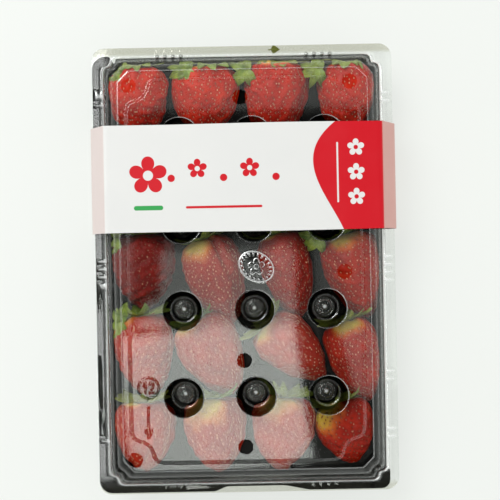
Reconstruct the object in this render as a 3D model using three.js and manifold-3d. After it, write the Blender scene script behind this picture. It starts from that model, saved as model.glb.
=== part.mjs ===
// A shut punnet of twenty large strawberries. A black nest tray lies in a clear base, a clear lid with
// twelve deep wells closes it, and a printed card sleeve wraps the whole pack across its width.
// Millimetres, +Z up. X runs across the pack, Y along it, and the pack stands on Z = 0.
import * as THREE from "three";
import { mergeVertices } from "three/addons/utils/BufferGeometryUtils.js";
import Module from "manifold-3d";

const wasm = await Module();
wasm.setup();

// ---------------------------------------------------------------- driving dimensions
const PACK_WIDTH = 200; // outer edge of the flanges, along X
const PACK_LENGTH = 297; // outer edge of the flanges, along Y
const FLANGE_RADIUS = 9;
const PLASTIC = 0.6; // thickness of every formed plastic wall
const GAP = 0.3; // clearance between pieces that rest on each other
const BITE = 0.1; // how far a solid reaches into the one that it is joined to

const BASE_FLOOR_Z = 1.6; // underside of the base between its feet
const BASE_FLANGE_Z = 28.6; // underside of the base flange
const LID_FLANGE_Z = BASE_FLANGE_Z + 3 * PLASTIC; // underside of the lid flange, over base and tray rims
const LEDGE_Z = 47.8; // top of the ledge round the lid's panel
const PANEL_Z = 50; // top of the lid's panel

const TUB_FOOT = { x: 88, y: 138, corner: 9, lobe: 0 }; // half sizes of the base walls at the floor
const TUB_TOP = { x: 91.2, y: 141.2, corner: 11, lobe: 1 }; // the same at the flange
const LEDGE = { x: 81.5, y: 130.6, corner: 7.2, lobe: 0 };
const LOBE_SWELL = 0.16; // how far a lobe stands out of its corner, as a share of the corner
const PANEL = { x: 75.3, y: 124.1, notch: 17 };
// The S that cuts back each corner of the panel, as shares of the notch in from the side and the end.
const NOTCH_CURVE = [
  [0, 1],
  [0.1, 0.92],
  [0.3, 0.84],
  [0.56, 0.74],
  [0.74, 0.56],
  [0.84, 0.3],
  [0.92, 0.1],
  [1, 0],
];

const FOOT = { width: 34, length: 26, x: 62, y: 117 }; // four pads that the base stands on
const BEAD = { x: 95.4, y: 143.5, corner: 12.6, lobe: 1 }; // outer edge of the raised bead on the lid flange
const BEAD_HEIGHT = 1.5;

const WELL_PITCH = { x: 47, y: 56.5 };
const WELL_CENTRE = { x: 5.7, y: 2.1 }; // middle of the 3 by 4 grid of wells
const WELL_COLUMNS = 3;
const WELL_ROWS = 4;
const WELL = { top: 12.6, shoulder: 9.3, neck: 7.9, tip: 7, shoulderZ: 35, neckZ: 34.3, tipZ: 25.2 };
const WELL_BOSS = { radius: 2.3, height: 1.6 }; // small boss in the middle of each well's floor
const WELL_SIDES = 14;
const POST_SIDES = 10;
const SHAFT_SIDES = 8; // sides of the clear space that the berries leave round a well

const VENT_RADIUS = 5;
const VENT_SIDES = 12;
const VENTS = [
  [-74, 121],
  [70, 121.2],
  [-73.6, -122.7],
  [70, -122.5],
  [-1.5, 112],
  [64.5, -2.5],
  [-1.8, -59],
  [-1.9, -115],
];

const LUG = { width: 2.6, length: 6.4, height: 1.3, pitch: 5.2, inset: 5.2 }; // ribs across the lid flange
// The groups of ribs, as the middle of each group along its edge and its number of ribs.
const SIDE_LUGS = [
  [-1, 4],
  [-72, 2],
  [-110, 2],
  [113, 2],
];
const END_LUGS = [
  [-48, 4],
  [51, 4],
];
const EMBLEM = { x: 5, y: 4, length: 32, width: 21, height: 1, sunk: 0.2, turn: -28 }; // low oval boss

// The card sleeve: where it runs along Y, its card, and the corners of its section from top to bottom.
const SLEEVE = {
  from: 25,
  to: 95,
  card: 0.45,
  topX: 90.6,
  foldX: 101.6,
  foldZ: 29.8,
  footX: 89.5,
  lowZ: GAP,
};
const SLEEVE_SLANT = 0.75; // how far the inner corners stand in, in card thicknesses

const RIM_Z = BASE_FLANGE_Z + PLASTIC + GAP; // underside of the nest tray's rim
const TRAY_FLOOR_Z = BASE_FLOOR_Z + PLASTIC + GAP; // underside of the nest tray's floor
const TRAY_INSET = PLASTIC + GAP; // from the base's outer wall to the tray's outer wall
const POST = { foot: 9.4, top: 6.8 }; // cones under the wells
const RIM_STRIP = 0.4; // how far the tray's rim reaches past the tub all round
// The rim's wide part, which sits off centre in the base: its edges and the radii of its corners.
const RIM = { left: -99.5, right: 94, front: -147.7, back: 143.1, leftRadius: 8.5, rightRadius: 5.5 };
// The wide part ends by the back left corner and beside the front right one, and is narrow at the front.
const RIM_CUT = {
  rightFrom: -134.5,
  back: { x: -84.2, y: 136.9 },
  backLean: -0.58, // how far the back end leans along X for each millimetre of Y
  front: [-15, 24],
  frontAtEdge: [-22.5, 40],
  frontEdge: -144.5,
};

const BERRY_FLOOR_Z = TRAY_FLOOR_Z + PLASTIC + GAP;
const BERRY_HEIGHT = 38.5;
const BERRY_ROUNDNESS = 12; // sides of a berry, round its axis
const BERRY_LUMPS = { double: 0.045, triple: 0.035 }; // how far a berry's section is from a circle
// How a berry lies, as shares of half its height: its axis is low at the tip and rises to the shoulder.
const BERRY_LIE = { low: 0.45, rise: 0.55, atTip: 0.2, toShoulder: 0.35, fill: 0.96 };
const CALYX = { leaves: 5, reach: 17.5, notch: 5, thickness: 1.2, flare: 0.22, out: 0.4, height: 0.47 };
const CORE_BAR = { width: 8, height: 6, z: 9 }; // bars that join the berries below their widest level

// Each berry: middle of the calyx x and y, tip x and y, and width across. Rows run from the back.
const BERRIES = [
  { calyx: [-71, 136], tip: [-69, 88], width: 41.5 },
  { calyx: [-22.5, 136.5], tip: [-27, 86], width: 44.5 },
  { calyx: [25, 138], tip: [20.5, 84], width: 44 },
  { calyx: [71, 136.5], tip: [69.5, 84], width: 41 },
  { calyx: [-66, 80], tip: [-69, 31], width: 41 },
  { calyx: [-23, 79], tip: [-21.5, 32], width: 42.5 },
  { calyx: [24, 80], tip: [31, 30], width: 43 },
  { calyx: [71, 79], tip: [71, 31], width: 39 },
  { calyx: [-68.5, 24.5], tip: [-68, -26], width: 43.5 },
  { calyx: [-28, 20.5], tip: [-8.5, -37], width: 39.5 },
  { calyx: [21.5, 23], tip: [37.5, -34.5], width: 40 },
  { calyx: [66, 22], tip: [83, -35], width: 41 },
  { calyx: [-71, -30], tip: [-66, -86], width: 39 },
  { calyx: [-33, -33], tip: [-9, -84.5], width: 43 },
  { calyx: [13.5, -36.5], tip: [52.5, -74.5], width: 39 },
  { calyx: [66, -36], tip: [82, -91], width: 36 },
  { calyx: [-70.5, -87.5], tip: [-69.5, -136], width: 41.5 },
  { calyx: [-24, -86], tip: [-20, -137], width: 43 },
  { calyx: [25, -86], tip: [20.5, -137], width: 44 },
  { calyx: [61, -90], tip: [72, -132.5], width: 38.5 },
];

const LEAF_TIP = { x: 22, y: 145.6, length: 8, width: 5.6, thickness: 0.4, wave: 0.06 }; // it lies along X

// ---------------------------------------------------------------- finishes
const clearPlastic = new THREE.MeshStandardMaterial({
  color: 0xdfe4e2,
  roughness: 0.12,
  metalness: 0,
  transparent: true,
  opacity: 0.35,
});
const blackPlastic = new THREE.MeshStandardMaterial({ color: 0x151615, roughness: 0.35, metalness: 0 });
const whiteCard = new THREE.MeshStandardMaterial({ color: 0xe9e9e6, roughness: 0.55, metalness: 0 });
const redFlesh = new THREE.MeshStandardMaterial({ color: 0xb01e22, roughness: 0.35, metalness: 0 });
const greenLeaf = new THREE.MeshStandardMaterial({ color: 0x6c7f33, roughness: 0.6, metalness: 0 });

// ---------------------------------------------------------------- solids
/** A manifold solid from a closed geometry, turned right side out if its faces point inwards. */
function solidFrom(geometry) {
  const bare = geometry.index ? geometry.toNonIndexed() : geometry.clone();
  bare.deleteAttribute("normal");
  bare.deleteAttribute("uv");
  const merged = mergeVertices(bare, 1e-4);
  const vertProperties = Float32Array.from(merged.attributes.position.array);
  const triVerts = Uint32Array.from(merged.index.array);
  const made = new wasm.Manifold(new wasm.Mesh({ numProp: 3, vertProperties, triVerts }));
  if (made.volume() > 0) return made;
  for (let i = 0; i < triVerts.length; i += 3) {
    [triVerts[i + 1], triVerts[i + 2]] = [triVerts[i + 2], triVerts[i + 1]];
  }
  return new wasm.Manifold(new wasm.Mesh({ numProp: 3, vertProperties, triVerts }));
}

/** The geometry of a manifold solid. */
function geometryFrom(solid) {
  const mesh = solid.getMesh();
  const geometry = new THREE.BufferGeometry();
  geometry.setAttribute("position", new THREE.BufferAttribute(mesh.vertProperties, mesh.numProp));
  geometry.setIndex(new THREE.BufferAttribute(mesh.triVerts, 1));
  return geometry;
}

/** All the solids joined into one. */
function joined(solids) {
  return solids.reduce((whole, piece) => whole.add(piece));
}

/** The largest body of a solid, without the loose scraps that a cut can leave. */
function largestBody(solid) {
  return solid.decompose().reduce((best, body) => (body.volume() > best.volume() ? body : best));
}

/** A named mesh of one solid. */
function meshOf(name, solid, material) {
  const mesh = new THREE.Mesh(geometryFrom(solid), material);
  mesh.name = name;
  return mesh;
}

// ---------------------------------------------------------------- outlines
/** The corner of an outline near (+x, +y), as points from its right side round to its top. */
function cornerPoints({ x, y, corner, lobe }) {
  const steps = 4;
  const points = [];
  for (let i = 0; i <= steps; i++) {
    // A lobe swells the first half of the corner outwards, and its mirror image swells the other half.
    const t = i / steps / 2;
    const swell = lobe * LOBE_SWELL * Math.sin(2 * Math.PI * t);
    points.push([x - corner * (t - swell), y - corner * (1 - t - swell)]);
  }
  const mirrored = points.map(([px, py]) => [x - (y - py), y - (x - px)]).reverse();
  return [...points, ...mirrored.slice(1)];
}

/** A closed outline, counter-clockwise, with the same corner at all four sides. */
function outline(form) {
  const first = cornerPoints(form);
  const second = first.map(([x, y]) => [-x, y]).reverse();
  const third = first.map(([x, y]) => [-x, -y]);
  const fourth = first.map(([x, y]) => [x, -y]).reverse();
  return [...first, ...second, ...third, ...fourth];
}

/** A shape from its corners. */
function shapeOf(points) {
  return new THREE.Shape(points.map(([x, y]) => new THREE.Vector2(x, y)));
}

/** The same form with its walls moved in by a distance. */
function inset(form, distance) {
  return { ...form, x: form.x - distance, y: form.y - distance };
}

/** A block whose walls run from one outline up to another with as many points. */
function taperedBlock(lower, upper, fromZ, toZ) {
  const foot = outline(lower);
  const head = outline(upper);
  const geometry = new THREE.ExtrudeGeometry(shapeOf(foot), { depth: toZ - fromZ, bevelEnabled: false });
  const position = geometry.attributes.position;
  for (let i = 0; i < position.count; i++) {
    if (position.getZ(i) < (toZ - fromZ) / 2) continue;
    const match = foot.findIndex(
      ([x, y]) => Math.hypot(x - position.getX(i), y - position.getY(i)) < 1e-3,
    );
    position.setXY(i, head[match][0], head[match][1]);
  }
  geometry.translate(0, 0, fromZ);
  return solidFrom(geometry);
}

/** A rounded rectangle centred on the pack. */
function roundedRectangle(halfX, halfY, radius) {
  const shape = new THREE.Shape();
  shape.moveTo(halfX, halfY - radius);
  shape.absarc(halfX - radius, halfY - radius, radius, 0, Math.PI / 2, false);
  shape.absarc(radius - halfX, halfY - radius, radius, Math.PI / 2, Math.PI, false);
  shape.absarc(radius - halfX, radius - halfY, radius, Math.PI, 1.5 * Math.PI, false);
  shape.absarc(halfX - radius, radius - halfY, radius, 1.5 * Math.PI, 2 * Math.PI, false);
  return shape;
}

/** The panel's outline: each corner is cut back in an S round the vent beside it. */
function panelShape(shrink) {
  const x = PANEL.x - shrink;
  const y = PANEL.y - shrink;
  const n = PANEL.notch;
  const corner = (sx, sy, start) => {
    const points = NOTCH_CURVE.map(([a, b]) => new THREE.Vector2(sx * (x - a * n), sy * (y - b * n)));
    return start ? points : points.reverse();
  };
  const points = [corner(1, 1, true), corner(-1, 1, false), corner(-1, -1, true), corner(1, -1, false)];
  return new THREE.Shape(points.flat());
}

/** A flat plate of a shape between two heights. */
function plate(shape, fromZ, toZ, curveSegments = 5) {
  const options = { depth: toZ - fromZ, bevelEnabled: false, curveSegments };
  return solidFrom(new THREE.ExtrudeGeometry(shape, options).translate(0, 0, fromZ));
}

/** A solid of revolution about a vertical axis from (radius, z) pairs, lowest first. */
function turned(profile, x, y, sides) {
  const points = profile.map(([radius, z]) => new THREE.Vector2(radius, z));
  const geometry = new THREE.LatheGeometry(points, sides);
  geometry.rotateX(Math.PI / 2);
  geometry.translate(x, y, 0);
  return solidFrom(geometry);
}

/** A box from its middle and its sizes, turned about Z by some degrees. */
function box(sizeX, sizeY, sizeZ, x, y, z, degrees = 0) {
  const geometry = new THREE.BoxGeometry(sizeX, sizeY, sizeZ);
  geometry.rotateZ(THREE.MathUtils.degToRad(degrees));
  geometry.translate(x, y, z);
  return solidFrom(geometry);
}

/** The middles of the twelve wells. */
function wellPlaces() {
  const places = [];
  for (let row = 0; row < WELL_ROWS; row++) {
    for (let column = 0; column < WELL_COLUMNS; column++) {
      const x = WELL_CENTRE.x + (column - (WELL_COLUMNS - 1) / 2) * WELL_PITCH.x;
      const y = WELL_CENTRE.y + ((WELL_ROWS - 1) / 2 - row) * WELL_PITCH.y;
      places.push([x, y]);
    }
  }
  return places;
}

// ---------------------------------------------------------------- clear base
/** The clear tub with its flange and four feet. */
function makeBase() {
  const flange = plate(
    roundedRectangle(PACK_WIDTH / 2, PACK_LENGTH / 2, FLANGE_RADIUS),
    BASE_FLANGE_Z,
    BASE_FLANGE_Z + PLASTIC,
  );
  const topZ = BASE_FLANGE_Z + PLASTIC;
  const outside = taperedBlock(TUB_FOOT, TUB_TOP, BASE_FLOOR_Z, topZ);
  const inside = taperedBlock(
    inset(TUB_FOOT, PLASTIC),
    inset(TUB_TOP, PLASTIC),
    BASE_FLOOR_Z + PLASTIC,
    topZ + 1,
  );
  const feet = [-1, 1].flatMap((sx) =>
    [-1, 1].map((sy) =>
      box(FOOT.width, FOOT.length, BASE_FLOOR_Z + BITE, sx * FOOT.x, sy * FOOT.y, (BASE_FLOOR_Z + BITE) / 2),
    ),
  );
  return joined([flange, outside, ...feet]).subtract(inside);
}

// ---------------------------------------------------------------- black nest tray
/** The wide part of the tray's rim, before its inside is cut out. */
function makeWideRim() {
  const { left, right, front, back, leftRadius, rightRadius } = RIM;
  const edge = new THREE.Shape();
  edge.moveTo(right, back);
  edge.absarc(left + leftRadius, back - leftRadius, leftRadius, Math.PI / 2, Math.PI, false);
  edge.absarc(left + leftRadius, front + leftRadius, leftRadius, Math.PI, 1.5 * Math.PI, false);
  edge.absarc(right - rightRadius, front + rightRadius, rightRadius, 1.5 * Math.PI, 2 * Math.PI, false);
  const farX = PACK_WIDTH;
  const farY = PACK_LENGTH;
  const corner = RIM_CUT.back;
  const backAndRight = shapeOf([
    [0, RIM_CUT.rightFrom],
    [farX, RIM_CUT.rightFrom],
    [farX, farY],
    [corner.x + RIM_CUT.backLean * (farY - corner.y), farY],
    [corner.x, corner.y],
    [0, corner.y],
  ]);
  const narrowFront = shapeOf([
    [RIM_CUT.frontAtEdge[0], -farY],
    [RIM_CUT.frontAtEdge[1], -farY],
    [RIM_CUT.frontAtEdge[1], front],
    [RIM_CUT.front[1], RIM_CUT.frontEdge],
    [RIM_CUT.front[0], RIM_CUT.frontEdge],
    [RIM_CUT.frontAtEdge[0], front],
  ]);
  const cuts = [backAndRight, narrowFront].map((shape) => plate(shape, RIM_Z - PLASTIC, RIM_Z + 2 * PLASTIC));
  return plate(edge, RIM_Z, RIM_Z + PLASTIC).subtract(joined(cuts));
}

/** The tray's outer wall outlines at its floor and at its rim. */
const TRAY_FOOT = inset(TUB_FOOT, TRAY_INSET);
const TRAY_TOP = inset(TUB_TOP, TRAY_INSET);

/** The black tray: walls, floor, partial rim, and a post under each well. */
function makeNestTray() {
  const rimTop = RIM_Z + PLASTIC;
  const strip = plate(shapeOf(outline(inset(TUB_TOP, -RIM_STRIP))), RIM_Z, rimTop);
  const rim = strip.add(makeWideRim());
  const outside = taperedBlock(TRAY_FOOT, TRAY_TOP, TRAY_FLOOR_Z, rimTop);
  const inside = taperedBlock(
    inset(TRAY_FOOT, PLASTIC),
    inset(TRAY_TOP, PLASTIC),
    TRAY_FLOOR_Z + PLASTIC,
    rimTop + 1,
  );
  const postTop = WELL.tipZ - GAP;
  const post = (radii, low, high, x, y) =>
    turned([[0, low], [radii.foot, low], [radii.top, high], [0, high]], x, y, POST_SIDES);
  const hollow = { foot: POST.foot - PLASTIC, top: POST.top - PLASTIC };
  const posts = wellPlaces().map(([x, y]) => post(POST, TRAY_FLOOR_Z, postTop, x, y));
  const hollows = wellPlaces().map(([x, y]) => post(hollow, TRAY_FLOOR_Z - BITE, postTop - PLASTIC, x, y));
  return joined([rim, outside]).subtract(inside).add(joined(posts)).subtract(joined(hollows));
}

// ---------------------------------------------------------------- clear lid
/** A well's outer or inner surface as (radius, z) pairs. */
function wellProfile(shrink, topZ) {
  const tipZ = WELL.tipZ + shrink;
  const bossZ = tipZ + WELL_BOSS.height;
  const bossTop = [WELL_BOSS.radius - shrink, bossZ];
  const raised = shrink > 0 ? [[0, bossZ], bossTop, [WELL_BOSS.radius, tipZ]] : [[0, tipZ]];
  return [
    ...raised,
    [WELL.tip - shrink, tipZ],
    [WELL.neck - shrink, WELL.neckZ],
    [WELL.shoulder - shrink, WELL.shoulderZ],
    [WELL.top - shrink, topZ],
    [0, topZ],
  ];
}

/** One small rib across the flange, with a roof-shaped section. */
function lug(x, y, alongX) {
  const half = LUG.width / 2;
  const section = new THREE.Shape([
    new THREE.Vector2(-half, 0),
    new THREE.Vector2(half, 0),
    new THREE.Vector2(0, LUG.height),
  ]);
  const geometry = new THREE.ExtrudeGeometry(section, { depth: LUG.length, bevelEnabled: false });
  geometry.translate(0, 0, -LUG.length / 2);
  geometry.rotateX(Math.PI / 2);
  if (alongX) geometry.rotateZ(Math.PI / 2);
  geometry.translate(x, y, LID_FLANGE_Z + PLASTIC - BITE);
  return solidFrom(geometry);
}

/** The groups of ribs along both sides and both ends. */
function makeLugs() {
  const sideX = PACK_WIDTH / 2 - LUG.inset;
  const endY = PACK_LENGTH / 2 - LUG.inset;
  const places = (groups) =>
    groups.flatMap(([middle, count]) =>
      [...Array(count).keys()].map((i) => middle + (i - (count - 1) / 2) * LUG.pitch),
    );
  const sides = [-1, 1].flatMap((side) => places(SIDE_LUGS).map((y) => lug(side * sideX, y, true)));
  const ends = [-1, 1].flatMap((end) => places(END_LUGS).map((x) => lug(x, end * endY, false)));
  return joined([...sides, ...ends]);
}

/** A low oval boss on the panel. */
function makeEmblem() {
  const oval = new THREE.SphereGeometry(1, 16, 8);
  oval.scale(EMBLEM.length / 2, EMBLEM.width / 2, EMBLEM.height);
  oval.rotateZ(THREE.MathUtils.degToRad(EMBLEM.turn));
  oval.translate(EMBLEM.x, EMBLEM.y, PANEL_Z - EMBLEM.sunk);
  const bottom = PANEL_Z - EMBLEM.sunk - BITE;
  const depth = 2 * EMBLEM.height;
  return solidFrom(oval).subtract(
    box(2 * EMBLEM.length, 2 * EMBLEM.length, depth, EMBLEM.x, EMBLEM.y, bottom - depth / 2),
  );
}

/** The clear lid: flange with bead and ribs, sloping wall, ledge, raised panel, wells and vents. */
function makeLid() {
  const flangeTop = LID_FLANGE_Z + PLASTIC;
  const flange = plate(
    roundedRectangle(PACK_WIDTH / 2, PACK_LENGTH / 2, FLANGE_RADIUS),
    LID_FLANGE_Z,
    flangeTop,
  );
  const beadInside = shapeOf(outline(inset(TUB_TOP, BITE)));
  const ring = plate(shapeOf(outline(BEAD)), flangeTop - BITE, flangeTop + BEAD_HEIGHT).subtract(
    plate(beadInside, flangeTop - 1, flangeTop + 2 * BEAD_HEIGHT),
  );
  const wall = taperedBlock(TUB_TOP, LEDGE, LID_FLANGE_Z, LEDGE_Z);
  const panel = plate(panelShape(0), LEDGE_Z - BITE, PANEL_Z);
  const hollow = joined([
    taperedBlock(inset(TUB_TOP, PLASTIC), inset(LEDGE, PLASTIC), LID_FLANGE_Z - BITE, LEDGE_Z - PLASTIC),
    plate(panelShape(PLASTIC), LEDGE_Z - 2 * PLASTIC, PANEL_Z - PLASTIC),
  ]);
  const wells = wellPlaces().map(([x, y]) => turned(wellProfile(0, PANEL_Z), x, y, WELL_SIDES));
  const holes = wellPlaces().map(([x, y]) => turned(wellProfile(PLASTIC, PANEL_Z + BITE), x, y, WELL_SIDES));
  const ventProfile = [
    [0, LEDGE_Z - 2 * PLASTIC],
    [VENT_RADIUS, LEDGE_Z - 2 * PLASTIC],
    [VENT_RADIUS, PANEL_Z + PLASTIC],
    [0, PANEL_Z + PLASTIC],
  ];
  const vents = VENTS.map(([x, y]) => turned(ventProfile, x, y, VENT_SIDES));
  return joined([flange, ring, makeLugs(), wall, panel])
    .subtract(hollow)
    .add(joined(wells))
    .add(makeEmblem())
    .subtract(joined([...holes, ...vents]));
}

// ---------------------------------------------------------------- strawberries
// How a berry's half width grows and shrinks from its shoulder to its tip, as (share of length, share).
const BERRY_PROFILE = [
  [0.0, 0],
  [0.02, 0.66],
  [0.15, 0.95],
  [0.37, 1.0],
  [0.64, 0.8],
  [0.88, 0.42],
  [1.0, 0],
];

/** One berry lying on its side, as round or lumpy as its number in the row makes it. */
function makeBerry({ calyx, tip, width }, number) {
  const length = Math.hypot(tip[0] - calyx[0], tip[1] - calyx[1]);
  const heading = Math.atan2(tip[1] - calyx[1], tip[0] - calyx[0]);
  const profile = BERRY_PROFILE.map(([along, share]) => new THREE.Vector2(share, along));
  const geometry = new THREE.LatheGeometry(profile, BERRY_ROUNDNESS);
  const position = geometry.attributes.position;
  const halfHeight = BERRY_HEIGHT / 2;
  for (let i = 0; i < position.count; i++) {
    const along = position.getY(i);
    const share = Math.hypot(position.getX(i), position.getZ(i));
    const angle = Math.atan2(position.getZ(i), position.getX(i));
    const lump =
      1 +
      BERRY_LUMPS.double * Math.sin(2 * angle + 1.7 * number) +
      BERRY_LUMPS.triple * Math.sin(3 * angle - number);
    const quarter = Math.min(0.5, BERRY_LIE.atTip + BERRY_LIE.toShoulder * (1 - along));
    const middle = halfHeight * (BERRY_LIE.low + BERRY_LIE.rise * Math.sin(Math.PI * quarter));
    const side = (width / 2) * share * lump * Math.cos(angle);
    const up = halfHeight * BERRY_LIE.fill * share * lump * Math.sin(angle);
    position.setXYZ(i, along * length, side, Math.max(up + middle, 0));
  }
  geometry.rotateZ(heading);
  geometry.translate(calyx[0], calyx[1], BERRY_FLOOR_Z + BITE);
  return solidFrom(geometry);
}

/** The green leaves round a berry's stalk: a thin star whose points flare away from the fruit. */
function makeCalyx({ calyx, tip }, number) {
  const heading = Math.atan2(tip[1] - calyx[1], tip[0] - calyx[0]);
  const points = [];
  for (let i = 0; i < 2 * CALYX.leaves; i++) {
    const angle = (i * Math.PI) / CALYX.leaves + 0.4 * number;
    const reach = i % 2 ? CALYX.notch : CALYX.reach * (0.88 + 0.12 * Math.sin(3 * number + 2 * i));
    points.push(new THREE.Vector2(reach * Math.cos(angle), reach * Math.sin(angle)));
  }
  const options = { depth: CALYX.thickness, bevelEnabled: false };
  const geometry = new THREE.ExtrudeGeometry(new THREE.Shape(points), options);
  const position = geometry.attributes.position;
  for (let i = 0; i < position.count; i++) {
    const reach = Math.hypot(position.getX(i), position.getY(i));
    position.setZ(i, position.getZ(i) - CALYX.flare * reach - CALYX.out);
  }
  geometry.rotateY(Math.PI / 2);
  geometry.rotateZ(heading);
  geometry.translate(calyx[0], calyx[1], BERRY_FLOOR_Z + BERRY_HEIGHT * CALYX.height);
  return solidFrom(geometry);
}

/** The space that the berries may fill: inside tray and lid, clear of posts and wells. */
function berrySpace() {
  const clear = PLASTIC + GAP;
  const midZ = LID_FLANGE_Z - 1;
  const below = taperedBlock(inset(TRAY_FOOT, clear), inset(TRAY_TOP, clear), BERRY_FLOOR_Z, midZ);
  const above = taperedBlock(
    inset(TRAY_TOP, clear),
    inset(LEDGE, PLASTIC + 2 * GAP),
    midZ - BITE,
    LEDGE_Z - PLASTIC - GAP,
  );
  const shaft = [
    [0, 0],
    [POST.foot + 2 * GAP, 0],
    [WELL.neck + 2 * GAP, WELL.tipZ - PLASTIC],
    [WELL.shoulder + 2 * GAP, WELL.shoulderZ - GAP],
    [WELL.top + 2 * GAP, PANEL_Z],
    [0, PANEL_Z],
  ];
  const shafts = wellPlaces().map(([x, y]) => turned(shaft, x, y, SHAFT_SIDES));
  return below.add(above).subtract(joined(shafts));
}

/** The twenty berries with their leaves, joined below by the bars of the core. */
function makeStrawberries() {
  const perRow = 4;
  const rows = BERRIES.length / perRow;
  const middle = (berry) => [(berry.calyx[0] + berry.tip[0]) / 2, (berry.calyx[1] + berry.tip[1]) / 2];
  const bars = [];
  for (let row = 0; row < rows; row++) {
    for (let column = 0; column < perRow; column++) {
      const here = middle(BERRIES[row * perRow + column]);
      const others = [];
      if (column + 1 < perRow) others.push(middle(BERRIES[row * perRow + column + 1]));
      if (row + 1 < rows && column % 3 === 0) others.push(middle(BERRIES[(row + 1) * perRow + column]));
      for (const there of others) {
        const run = Math.hypot(there[0] - here[0], there[1] - here[1]);
        const turn = Math.atan2(there[1] - here[1], there[0] - here[0]);
        const x = (here[0] + there[0]) / 2;
        const y = (here[1] + there[1]) / 2;
        bars.push(
          box(run, CORE_BAR.width, CORE_BAR.height, x, y, CORE_BAR.z, THREE.MathUtils.radToDeg(turn)),
        );
      }
    }
  }
  const whole = joined([...BERRIES.map(makeBerry), ...BERRIES.map(makeCalyx), ...bars]);
  return largestBody(whole.intersect(berrySpace()));
}

// ---------------------------------------------------------------- card sleeve
/** The card band round the pack: flat on top, folded down to the flange edges and in under the base. */
function makeSleeve() {
  const lowZ = SLEEVE.lowZ;
  const topZ = PANEL_Z + GAP + SLEEVE.card;
  const half = [
    [SLEEVE.footX, lowZ],
    [SLEEVE.foldX, SLEEVE.foldZ],
    [SLEEVE.topX, topZ],
  ];
  const points = [...half, ...half.map(([x, z]) => [-x, z]).reverse()];
  const shape = shapeOf(points);
  const card = SLEEVE.card;
  const inner = [
    [SLEEVE.footX - SLEEVE_SLANT * card, lowZ + card],
    [SLEEVE.foldX - card, SLEEVE.foldZ],
    [SLEEVE.topX - SLEEVE_SLANT * card, topZ - card],
  ];
  const innerPoints = [...inner, ...inner.map(([x, z]) => [-x, z]).reverse()];
  shape.holes.push(new THREE.Path(innerPoints.map(([x, z]) => new THREE.Vector2(x, z))));
  const options = { depth: SLEEVE.to - SLEEVE.from, bevelEnabled: false };
  const geometry = new THREE.ExtrudeGeometry(shape, options);
  geometry.rotateX(Math.PI / 2);
  geometry.translate(0, SLEEVE.to, 0);
  return solidFrom(geometry);
}

// ---------------------------------------------------------------- leaf caught in the flange
/** A leaf with its stalk, held between the two flanges at the back. */
function makeLeafTip() {
  const reach = LEAF_TIP.length / 2;
  const half = LEAF_TIP.width / 2;
  const shape = new THREE.Shape();
  shape.moveTo(reach, 0);
  shape.quadraticCurveTo(0.35 * reach, 0.84 * half, -0.1 * reach, half);
  shape.quadraticCurveTo(-0.45 * reach, half, -0.52 * reach, 0.14 * half);
  shape.lineTo(-reach, 0.1 * half);
  shape.lineTo(-reach, -0.1 * half);
  shape.lineTo(-0.52 * reach, -0.14 * half);
  shape.quadraticCurveTo(-0.45 * reach, -half, -0.1 * reach, -half);
  shape.quadraticCurveTo(0.35 * reach, -0.84 * half, reach, 0);
  const options = { depth: LEAF_TIP.thickness, bevelEnabled: false, curveSegments: 4 };
  const geometry = new THREE.ExtrudeGeometry(shape, options);
  const position = geometry.attributes.position;
  for (let i = 0; i < position.count; i++) {
    const wave = LEAF_TIP.wave * Math.sin(position.getX(i)) * Math.cos(0.8 * position.getY(i));
    position.setZ(i, position.getZ(i) + wave);
  }
  geometry.translate(LEAF_TIP.x, LEAF_TIP.y, RIM_Z + 0.05);
  return solidFrom(geometry);
}

// ---------------------------------------------------------------- the whole punnet
const group = new THREE.Group();
group.name = "punnet";
group.add(meshOf("base", makeBase(), clearPlastic));
group.add(meshOf("nest_tray", makeNestTray(), blackPlastic));
group.add(meshOf("strawberries", makeStrawberries(), redFlesh));
group.add(meshOf("lid", makeLid(), clearPlastic.clone()));
group.add(meshOf("sleeve", makeSleeve(), whiteCard));
group.add(meshOf("leaf_tip", makeLeafTip(), greenLeaf));

export default group;
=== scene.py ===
"""A shut punnet of twenty large strawberries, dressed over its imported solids.

Sizes are in millimetres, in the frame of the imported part: X runs across the pack, Y along it, and the pack
stands on Z = 0. Every mesh is scaled to metres when its object is made.
"""

from __future__ import annotations

import logging
import math
from dataclasses import dataclass, field, replace
from enum import Enum
from typing import Callable, Iterable, Sequence

import bpy
import numpy as np
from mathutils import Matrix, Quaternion, Vector
from mathutils.geometry import delaunay_2d_cdt


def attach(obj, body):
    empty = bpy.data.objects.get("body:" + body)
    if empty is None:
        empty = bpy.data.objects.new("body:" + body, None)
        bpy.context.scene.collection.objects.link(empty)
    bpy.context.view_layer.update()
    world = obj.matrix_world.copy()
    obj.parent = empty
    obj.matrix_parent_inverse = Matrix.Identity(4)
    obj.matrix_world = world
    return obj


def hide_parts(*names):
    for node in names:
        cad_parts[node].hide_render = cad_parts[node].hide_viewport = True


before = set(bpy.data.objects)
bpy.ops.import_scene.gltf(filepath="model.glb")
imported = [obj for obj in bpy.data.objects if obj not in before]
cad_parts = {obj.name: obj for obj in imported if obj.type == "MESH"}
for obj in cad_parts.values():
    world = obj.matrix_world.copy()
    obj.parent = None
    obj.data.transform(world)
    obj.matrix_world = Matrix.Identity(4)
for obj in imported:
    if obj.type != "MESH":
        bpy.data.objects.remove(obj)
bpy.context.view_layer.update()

LOG = logging.getLogger("punnet")
MM = 0.001
BODY = "root"


class Slot(Enum):
    """The record's material slots."""

    CLEAR = "clear_plastic"
    BLACK = "black_plastic"
    FLESH = "berry_flesh"
    LEAF = "berry_leaf"
    CARD = "printed_card"


class Ripeness(Enum):
    """How a berry's skin is coloured."""

    BRIGHT = "bright"
    RIPE = "ripe"
    DEEP = "deep"
    PALE = "pale"


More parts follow.
